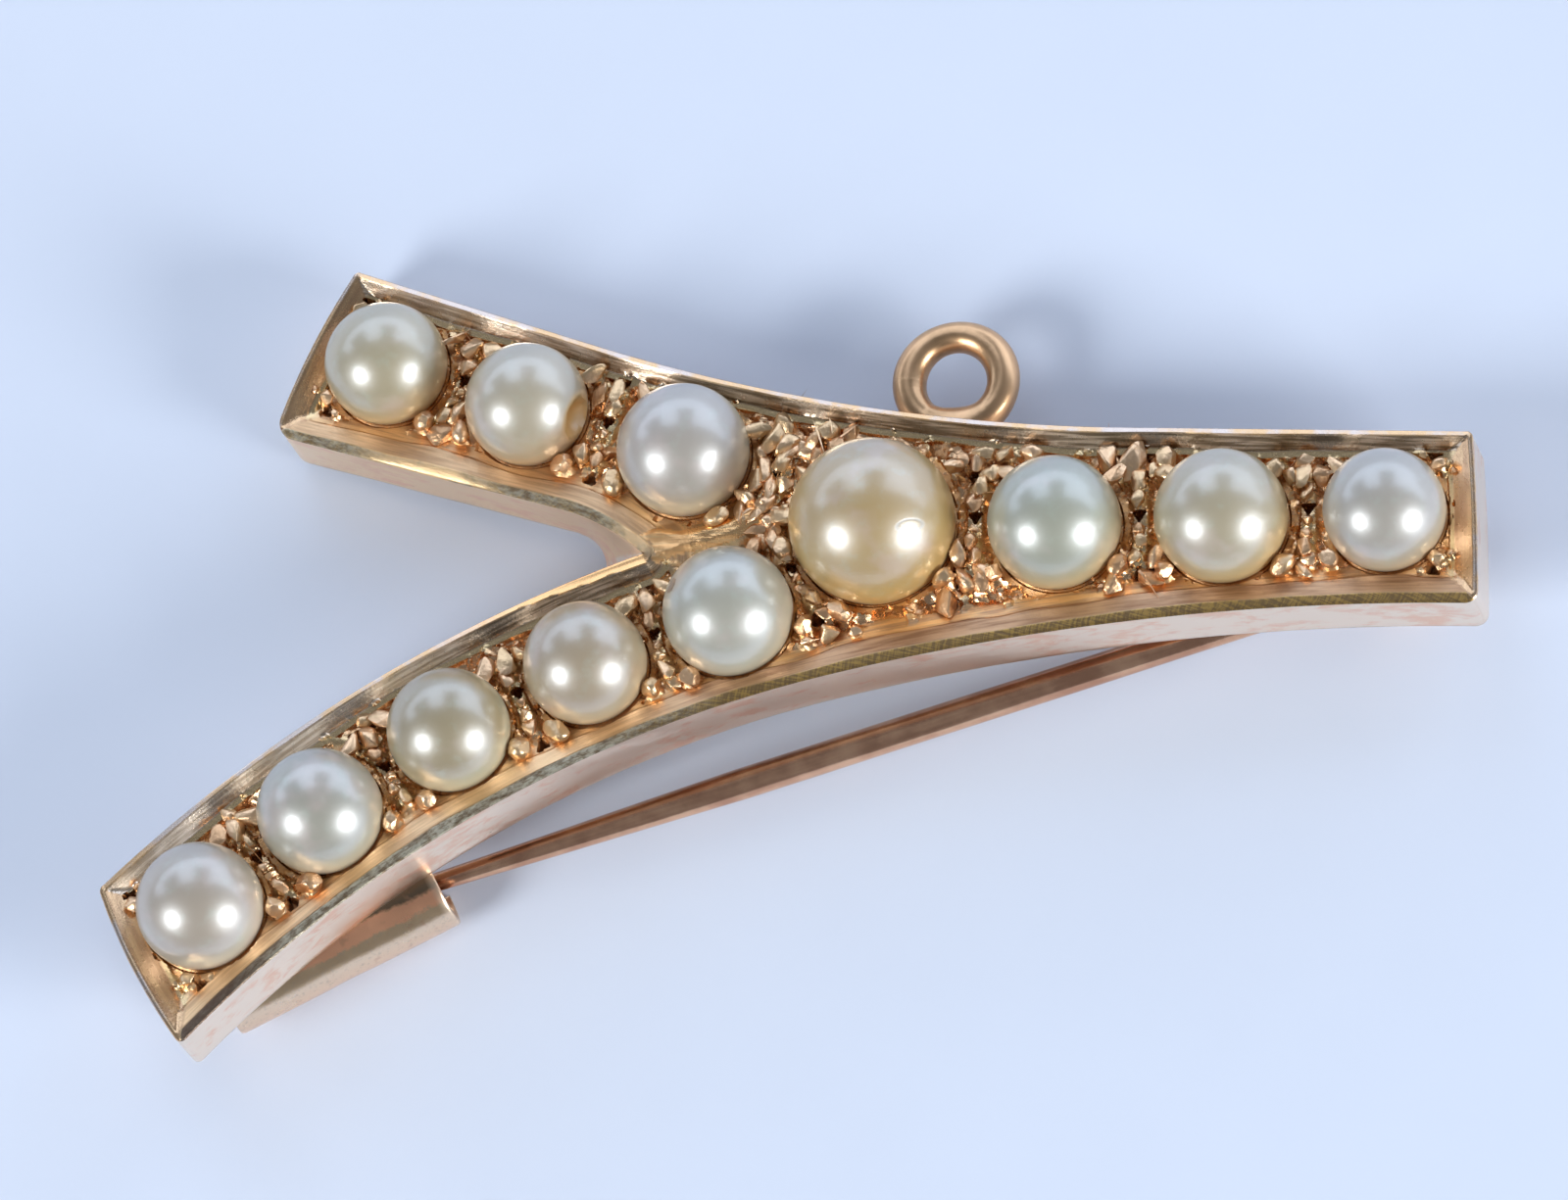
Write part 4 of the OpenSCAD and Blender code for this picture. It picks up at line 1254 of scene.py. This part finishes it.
class BROOCH_PG_tones(PropertyGroup):
    gold: tone("Gold", "Rosy main metal", (0.74, 0.48, 0.27))
    gold_yellow: tone("Yellow gold", "Brighter yellow parts", (0.74, 0.55, 0.30))
    rim_green: tone("Rim", "Olive hatched rim", (0.50, 0.31, 0.10))
    rim_pale: tone("Pale rim", "Thin polished line of the narrow rims", (0.66, 0.54, 0.47))
    rim_dark: tone("Rim lines", "Darker hatching of the rim", (0.27, 0.17, 0.08))
    # painted dark reflection for the rim at the lower arm's end
    rim_dark_reflection: tone("Dark rim", "Blackened rim at the lower arm's end", (0.17, 0.11, 0.08))
    olive: tone("Bevel", "Dark polished bevel", (0.58, 0.44, 0.32))
    # also the painted dark reflection on top of the catch
    olive_dark_and_reflection: tone("Bevel lines", "Darkest lines of the bevel", (0.22, 0.155, 0.10))
    slope: tone("Slope", "Coppery lower slope", (0.57, 0.35, 0.205))
    slope_dark: tone("Slope lines", "Darker lines of the slope", (0.34, 0.19, 0.11))
    # the bright strip beside the pearls is partly painted light against the pearls' shade
    slope_up_painted_light: tone("Upper slope", "Brighter strip of the slope beside the pearls", (0.90, 0.56, 0.27))
    slope_pale: tone("Pale slope", "Tan slope of the left arms", (1.0, 0.68, 0.38))
    rim_grey: tone("Grey rim", "Duller rim of the lower left arm", (0.66, 0.60, 0.46))
    wall_gold: tone("Golden wall", "Wall beside the fork", (1.0, 0.70, 0.42))
    # amber is also painted light on the seats beside the pearls
    amber: tone("Amber", "Orange edge of the seats, ridge at the fork and rim beside it", (0.98, 0.56, 0.25))
    bevel_pale: tone("Pale bevel", "Worn bevels of the two left arms", (0.94, 0.77, 0.62))
    # painted highlight of the upper arm's rim, laid on the flash mask
    rim_painted_highlight: tone("Bright rim", "Bright worn stretches of the upper arm's rim", (1.0, 0.67, 0.36))
    copper: tone("Copper", "Orange recesses", (0.74, 0.44, 0.24))
    # dark tone painted into the pits and at the grains' roots as shade, and laid in random dark streaks on
    # the wall
    grime_and_shade: tone("Grime", "Dark dirt in pits", (0.30, 0.17, 0.10))
    wall_pale: tone("Pale wall", "Satin outer wall", (1.0, 0.83, 0.67))
    wall_rose: tone("Rose wall", "Coppery patches of the wall", (0.94, 0.58, 0.40))
    grain: tone("Grain", "Rosy tops of the grains", (0.92, 0.61, 0.37))
    grain_green: tone("Grain facets", "Yellower facets of the grains", (0.79, 0.54, 0.31))
    pin: tone("Pin", "Coppery pin wire", (0.90, 0.54, 0.34))
    pin_dark: tone("Dark pin", "Darker streaks of the pin", (0.60, 0.31, 0.19))
    # painted reflections: the catch's bands of light and shade
    catch_copper_reflection: tone("Coppery catch", "Copper band of the catch", (1.0, 0.50, 0.29))
    catch_green_reflection: tone("Tarnished catch", "Greenish band of the catch", (0.66, 0.46, 0.28))
    catch_pale_reflection: tone("Pale catch", "Pale worn bands of the catch", (0.90, 0.68, 0.49))
    loop: tone("Loop", "Gold of the loop", (0.77, 0.47, 0.26))
    loop_dark: tone("Dark loop", "Tarnish of the loop", (0.50, 0.30, 0.16))
    floor: tone("Floor", "Pale floor", (0.67, 0.715, 0.83))


# Where the second upper pearl has lost a chip, in radii from its middle
NOTCHED, NOTCH = "pearl_upper_2", np.array((0.93, -0.34, 0.13))
NOTCH_FAR, NOTCH_R = 1.16, 0.40
# Where the large pearl is scratched, along which lines and how far
SCRATCHED, SCRATCH, SCRATCH_SIZE = "pearl_centre", (0.616, -0.336, 0.712), (0.32, 0.16)
SCRATCH_LONG, SCRATCH_WIDE = (0.981, 0.177, -0.162), (-0.110, 0.938, 0.361)
# Where the first lower pearl is chipped
CHIPPED, CHIP = "pearl_lower_1", np.array((-0.77, 0.24, 0.59))
# Body and edge tones of each pearl, and how much it is spotted; the lighter edge tone is painted light,
# reflected gold and glow toward the seat
PEARL_TONES = {
    "pearl_centre": ((0.41, 0.25, 0.06), (0.58, 0.37, 0.12), 0.1),
    "pearl_right_1": ((0.31, 0.30, 0.21), (0.58, 0.46, 0.25), 0.1),
    "pearl_right_2": ((0.37, 0.29, 0.16), (0.62, 0.44, 0.20), 0.1),
    "pearl_right_3": ((0.35, 0.30, 0.24), (0.58, 0.46, 0.30), 0.1),
    "pearl_upper_1": ((0.37, 0.31, 0.25), (0.64, 0.54, 0.36), 0.1),
    "pearl_upper_2": ((0.40, 0.32, 0.20), (0.58, 0.40, 0.22), 0.4),
    "pearl_upper_3": ((0.37, 0.29, 0.15), (0.60, 0.42, 0.20), 0.3),
    "pearl_lower_1": ((0.35, 0.32, 0.24), (0.56, 0.50, 0.36), 0.8),
    "pearl_lower_2": ((0.33, 0.23, 0.12), (0.54, 0.42, 0.26), 0.2),
    "pearl_lower_3": ((0.29, 0.21, 0.09), (0.58, 0.52, 0.34), 0.1),
    "pearl_lower_4": ((0.30, 0.27, 0.20), (0.54, 0.48, 0.34), 0.1),
    "pearl_lower_5": ((0.35, 0.27, 0.19), (0.60, 0.54, 0.42), 0.1),
}


# Operators


class BROOCH_OT_tray(Operator):
    """Build the cut tray with its walls and open back"""
    bl_idname = "brooch.tray"
    bl_label = "Tray"

    def execute(self, context):
        sizes, tones = context.scene.brooch_sizes, context.scene.brooch_tones
        plan = Plan(sizes.grain / MM)
        shell, rim = tray_shell(sizes, plan)
        piece = shell.build("tray", [cut_gold(tones), wall_gold(tones), back_gold(tones)], sharp=28)
        at = coords(piece)
        xy, z = at[:, :2], at[:, 2]
        run = np.concatenate(([0], np.cumsum(np.linalg.norm(np.diff(rim, axis=0), axis=1))))
        tree = kdtree.KDTree(len(rim))
        for i, p in enumerate(rim):
            tree.insert((*p, 0), i)
        tree.balance()
        near = [tree.find((*p, 0))[1] for p in xy]
        height, masks = relief(xy, sizes, plan)
        face, e = abs(z - height) < 0.03, edge_distances(xy)
        marks = {name: mask * face for name, mask in masks.items()}
        seat_piece(piece, "gold", stands_for=["frame"], way=np.column_stack((run[near], inside(xy), z)),
                   rosy=(e["fork"] < 0.6) * e["above"], **marks)
        return {"FINISHED"}


class BROOCH_OT_grains(Operator):
    """Raise the grains and chips that hold the pearls"""
    bl_idname = "brooch.grains"
    bl_label = "Grains"

    def execute(self, context):
        sizes, tones = context.scene.brooch_sizes, context.scene.brooch_tones
        plan = Plan(sizes.grain / MM)
        rng = np.random.RandomState(5)
        bm = bmesh.new()
        bmesh.ops.create_icosphere(bm, subdivisions=3, radius=1.0)
        ball = drained(bm)
        shell = Shell()
        for spot, r, z, tail, long, bead in plan.grains:
            if bead:
                unit, faces = ball
                v = unit * r
                for _ in range(BEAD_CUTS):
                    axis = rng.normal(size=3) + (0, 0, 0.5)
                    axis /= np.linalg.norm(axis)
                    v = v - np.maximum(v @ axis - r * rng.uniform(0.62, 0.93), 0)[:, None] * axis
            else:
                v, faces = chunk(rng, r * 1.2)
                v = v * (1, 1, 0.8)
                unit = v / r
            way = polar(1.0, tail)
            reach = unit[:, :2] @ way
            v[:, :2] += (reach * long * 0.8)[:, None] * way
            v[:, 2] -= reach * long * 0.35
            shell.add(v + (*spot, z), faces)
        piece = shell.build("grains", [grain_gold(tones)], weld=1e-7, sharp=26)
        at = coords(piece)
        away = [((at - (*spot, z)) ** 2).sum(1) / r ** 2 for spot, r, z, *_ in plan.grains]
        nearest = np.argmin(away, axis=0)
        # the mark for the painted shade at the grains' roots grows with depth below the face
        seat_piece(piece, "gold", root=ramp(-at[:, 2], 0.04, 0.26), cast=hashed(nearest, nearest * 0.37, 7))
        return {"FINISHED"}


class BROOCH_OT_loop(Operator):
    """Bend the chain loop and solder it to the top wall"""
    bl_idname = "brooch.loop"
    bl_label = "Chain loop"

    def execute(self, context):
        tones = context.scene.brooch_tones
        shell = Shell()
        shell.band(loop_rows())
        finish = wire_gold("Loop gold", tones.loop, tones.loop_dark, (0.8, 1.6, 0.0), 0.28)
        piece = shell.build("chain_loop", [finish], sharp=0)
        x, y, z = (coords(piece) - (*LOOP_AT, -WALL / 2)).T
        side = np.hypot(x, y)
        seat_piece(piece, "gold", way=np.column_stack((np.arctan2(y, x) * LOOP_RING, side * 4, z * 3)),
                   worn=ramp(x, 0.35, 0.8) * ramp(side, 1.05, 0.3) * 0.8)
        return {"FINISHED"}


class BROOCH_OT_catch(Operator):
    """Roll the catch and close the back beneath it and the hinge"""
    bl_idname = "brooch.catch"
    bl_label = "Catch and plates"

    def execute(self, context):
        tones = context.scene.brooch_tones
        rows, (_, around, lip), (first, last) = catch_rows(), CATCH_STEPS, CATCH_SPAN
        shell = Shell()
        shell.band(rows)
        end = len(rows[0]) - 1
        faces = [(i, i + 1, end - 1 - i, end - i) for i in range(around - 1)]
        faces.append(tuple(range(around - 1, around + lip - 1)))
        for row in (rows[0], rows[-1]):
            shell.add(row, faces)
        place = Matrix.Translation((*CATCH_AT, CATCH_Z)) @ Matrix.Rotation(math.radians(CATCH_TURN), 4, "Z")
        piece = shell.build("rolled_catch", [catch_gold(tones)], place, sharp=50)
        x, y, z = own_coords(piece, place).T
        turn = np.arctan2(z, y) % (2 * math.pi)
        # around places the painted reflection bands, and the mark named for wear places the painted highlight
        # at the end where the pin enters
        seat_piece(piece, "gold", way=np.column_stack((x, turn, z)),
                   around=(turn - first) / (last - first), worn=ramp(x, -0.25, 0.2))
        for name, outline in plate_outlines().items():
            piece = rounded_slab(outline, -WALL, -WALL + PLATE_T).build(name, [back_gold(tones)])
            seat_piece(piece, "gold")
        return {"FINISHED"}


class BROOCH_OT_hinge(Operator):
    """Stand the hinge's ears and set its rivet"""
    bl_idname = "brooch.hinge"
    bl_label = "Hinge"

    def execute(self, context):
        tones = context.scene.brooch_tones
        inner = KNUCKLE_W / 2 + HINGE_GAP
        arc = [polar(EAR_R, a) for a in np.linspace(0, 180, 33)]
        for name, low, tall in zip(("hinge_ear_lower", "hinge_ear_upper"), (-inner - EAR_T, inner), EAR_TALL):
            slab = rounded_slab([*arc, (-EAR_R, -tall), (EAR_R, -tall)], low, low + EAR_T, 0.04)
            seat_piece(slab.build(name, [back_gold(tones)], HINGE_PLACE), "gold")
        reach = inner + EAR_T + 0.02
        half = [(RIVET_R, 0), (RIVET_R, reach), (RIVET_HEAD_R * 0.96, reach)]
        half += [(RIVET_HEAD_R * math.sin(a), reach + RIVET_HEAD_T * (0.35 + 0.65 * math.cos(a)))
                 for a in np.linspace(math.pi / 2, 0.12, 8)]
        shell = Shell()
        shell.spindle(lathe([(r, -z) for r, z in reversed(half)] + half[1:], RIVET_SIDES))
        piece = shell.build("rivet", [back_gold(tones)], HINGE_PLACE)
        seat_piece(piece, "rivet_gold", stands_for=["hinge_rivet"])
        return {"FINISHED"}


class BROOCH_OT_pin(Operator):
    """Draw the tapered pin and roll its knuckle"""
    bl_idname = "brooch.pin"
    bl_label = "Pin"

    def execute(self, context):
        tones = context.scene.brooch_tones
        shell = Shell()
        shell.spindle(pin_rows())
        w, bore, e = KNUCKLE_W / 2, RIVET_R + HINGE_GAP, 0.06
        half = [(bore, w), (KNUCKLE_R - e, w), (KNUCKLE_R - e * 0.3, w - e * 0.3), (KNUCKLE_R, w - e)]
        shell.band(lathe([(r, -z) for r, z in half] + half[::-1] + [(bore, -w)], KNUCKLE_SIDES))
        finish = wire_gold("Pin gold", tones.pin, tones.pin_dark, (0.2, 1.2, 0.0))
        piece = shell.build("pin", [finish], HINGE_PLACE, sharp=45)
        x, y, z = own_coords(piece, HINGE_PLACE).T
        around = np.arctan2(z, y)
        seat_piece(piece, "pin_gold", body="pin", stands_for=["pin_stem"],
                   way=np.column_stack((x, np.sin(around) * 2, np.cos(around) * 2)),
                   worn=np.exp(-((x + PIN_WORN) / 0.25) ** 2) * 0.9)
        return {"FINISHED"}


class BROOCH_OT_pearls(Operator):
    """Shape the twelve pearls and lay them in their seats"""
    bl_idname = "brooch.pearls"
    bl_label = "Pearls"

    def execute(self, context):
        spin = REST_TURN.to_3x3()
        for k, (name, c, r) in enumerate(PEARLS):
            body, edge, spots = PEARL_TONES[name]
            scar = None
            if name == SCRATCHED:
                middle = TO_ROW @ Vector((*c, PEARL_RISE)) + spin @ Vector(SCRATCH) * r * MM
                long, wide = [spin @ Vector(way) / size
                              for way, size in zip((SCRATCH_LONG, SCRATCH_WIDE), SCRATCH_SIZE)]
                scar = (middle / MM, long, wide)
            finish = pearl_finish(name.replace("_", " "), body, edge, k + 1, scar)
            shell = Shell()
            shell.spindle(nacre_rows(name, c, r, np.random.RandomState(100 + k)))
            piece = shell.build(name + "_nacre", [finish], sharp=60)
            out = (coords(piece) - (*c, PEARL_RISE)) / r
            notch, chip = [((out - spot) ** 2).sum(1) for spot in (NOTCH, CHIP)]
            # the painted light on the pearl's lower sides fades from just below its middle to 0.7 of its
            # radius up
            seat_piece(piece, "pearl", stands_for=[name], girdle=fade(out[:, 2] + 0.05, 1, 0.75),
                       blemish=np.full(len(out), spots),
                       stain=np.exp(-(notch / 0.15) ** 3) * (name == NOTCHED),
                       chip=np.exp(-chip / 0.018) * (name == CHIPPED))
        return {"FINISHED"}


# Camera: tilt and turn from the plate's normal, the point that it looks at, and its distance
CAMERA_TILT, CAMERA_TURN, CAMERA_AIM, CAMERA_FAR = 23.0, -57.4, (-2.12, -1.95, 0.0), 0.3
FOCAL_PIXELS, PHOTO_WIDTH, SENSOR = 12600, 1600, 36.0
FLOOR_HALF = 1.5
ROOM_TINT, ROOM_STRENGTH = (0.80, 0.88, 1.0, 1.0), 0.25

# Lights: name, direction in the camera's axes, distance, pane (left, right, low and high), strength, tint.
# The softboxes are round. A wide backdrop is behind, its lower part broken by two dark gaps.
DISC, DISC_SHARE, REAR = (-0.112, 0.112, -0.112, 0.112), 0.785, (0.0, 0.951, 0.309)
COOL, SKY = (0.92, 0.97, 1.0), (0.66, 0.79, 1.0)
LIGHTS = (
    ("softbox_left", (-0.73, -0.36, 0.58), 0.5, DISC, 12.8, COOL),
    ("softbox_right", (0.76, -0.30, 0.57), 0.5, DISC, 18.6, COOL),
    ("rear_left", REAR, 0.6, (-2.0, -1.0, -0.30, 0.05), 1.95, SKY),
    ("rear_middle", REAR, 0.6, (-0.40, -0.085, -0.30, 0.05), 1.95, SKY),
    ("rear_right", REAR, 0.6, (0.16, 2.0, -0.30, 0.05), 1.95, SKY),
    ("rear_high", REAR, 0.6, (-2.0, 0.7, 0.05, 0.31), 1.95, SKY),
)


def camera_axes():
    """Right, up and back of the camera in the row's frame."""
    tilt, turn = math.radians(CAMERA_TILT), math.radians(CAMERA_TURN)
    ct, st, cp, sp = math.cos(tilt), math.sin(tilt), math.cos(turn), math.sin(turn)
    fall, level = Vector((ct * cp, ct * sp, -st)), Vector((-sp, cp, 0))
    spin = REST_TURN.to_3x3()
    return [spin @ way for way in (fall * cp - level * sp, fall * sp + level * cp,
                                   Vector((st * cp, st * sp, ct)))]


class BROOCH_OT_stage(Operator):
    """Lay the pale floor and set the lights and the camera"""
    bl_idname = "brooch.stage"
    bl_label = "Stage"

    def execute(self, context):
        scene, tones = context.scene, context.scene.brooch_tones
        mesh = bpy.data.meshes.new("floor")
        a = FLOOR_HALF
        mesh.from_pydata([(-a, -a, 0), (a, -a, 0), (a, a, 0), (-a, a, 0)], [], [(0, 1, 2, 3)])
        mesh.materials.append(floor_finish(tones.floor))
        floor = bpy.data.objects.new("floor", mesh)
        scene.collection.objects.link(floor)

        right, up, back = camera_axes()
        aim = TO_ROW @ Vector(CAMERA_AIM)
        place = Matrix((right, up, back)).transposed().to_4x4()
        place.translation = aim + back * CAMERA_FAR
        lens = bpy.data.cameras.new("camera")
        lens.sensor_width, lens.lens = SENSOR, FOCAL_PIXELS / PHOTO_WIDTH * SENSOR
        lens.clip_start, lens.clip_end = 0.01, 20.0
        eye = bpy.data.objects.new("camera", lens)
        eye.matrix_world = place
        scene.collection.objects.link(eye)
        scene.camera = eye

        for name, way, distance, (left, far_right, low, high), strength, tint in LIGHTS:
            ahead = (right * way[0] + up * way[1] + back * way[2]).normalized()
            side = (right - ahead * right.dot(ahead)).normalized()
            tall = ahead.cross(side)
            light = bpy.data.lights.new(name, "AREA")
            light.shape, share = ("ELLIPSE", DISC_SHARE) if "softbox" in name else ("RECTANGLE", 1)
            light.size, light.size_y = far_right - left, high - low
            light.energy = strength * math.pi * light.size * light.size_y * share
            light.color = tint
            lamp = bpy.data.objects.new(name, light)
            turn = Matrix((side, tall, ahead)).transposed().to_4x4()
            turn.translation = (aim + ahead * distance + side * (left + far_right) / 2
                                + tall * (low + high) / 2)
            lamp.matrix_world = turn
            scene.collection.objects.link(lamp)

        world = bpy.data.worlds.new("room")
        world.use_nodes = True
        dim = world.node_tree.nodes["Background"]
        dim.inputs["Color"].default_value = ROOM_TINT
        dim.inputs["Strength"].default_value = ROOM_STRENGTH
        scene.world = world
        scene.view_settings.view_transform = "Standard"
        return {"FINISHED"}


class BROOCH_PT_panel(Panel):
    """Buttons for the brooch's pieces"""
    bl_idname = "BROOCH_PT_panel"
    bl_label = "Pearl brooch"
    bl_space_type = "VIEW_3D"
    bl_region_type = "UI"
    bl_category = "Brooch"

    def draw(self, context):
        for step in STEPS:
            self.layout.operator(step.bl_idname)
        for group in (context.scene.brooch_sizes, context.scene.brooch_tones):
            column = self.layout.column()
            for key in group.__annotations__:
                column.prop(group, key)


STEPS = (BROOCH_OT_tray, BROOCH_OT_grains, BROOCH_OT_loop, BROOCH_OT_catch, BROOCH_OT_hinge, BROOCH_OT_pin,
         BROOCH_OT_pearls, BROOCH_OT_stage)
CLASSES = (BROOCH_PG_sizes, BROOCH_PG_tones) + STEPS + (BROOCH_PT_panel,)


def register():
    for cls in CLASSES:
        bpy.utils.register_class(cls)
    bpy.types.Scene.brooch_sizes = PointerProperty(type=BROOCH_PG_sizes)
    bpy.types.Scene.brooch_tones = PointerProperty(type=BROOCH_PG_tones)


def unregister():
    del bpy.types.Scene.brooch_sizes, bpy.types.Scene.brooch_tones
    for cls in reversed(CLASSES):
        bpy.utils.unregister_class(cls)


def main():
    register()
    for step in STEPS:
        group, name = step.bl_idname.split(".")
        getattr(getattr(bpy.ops, group), name)()


if __name__ == "__main__":
    main()
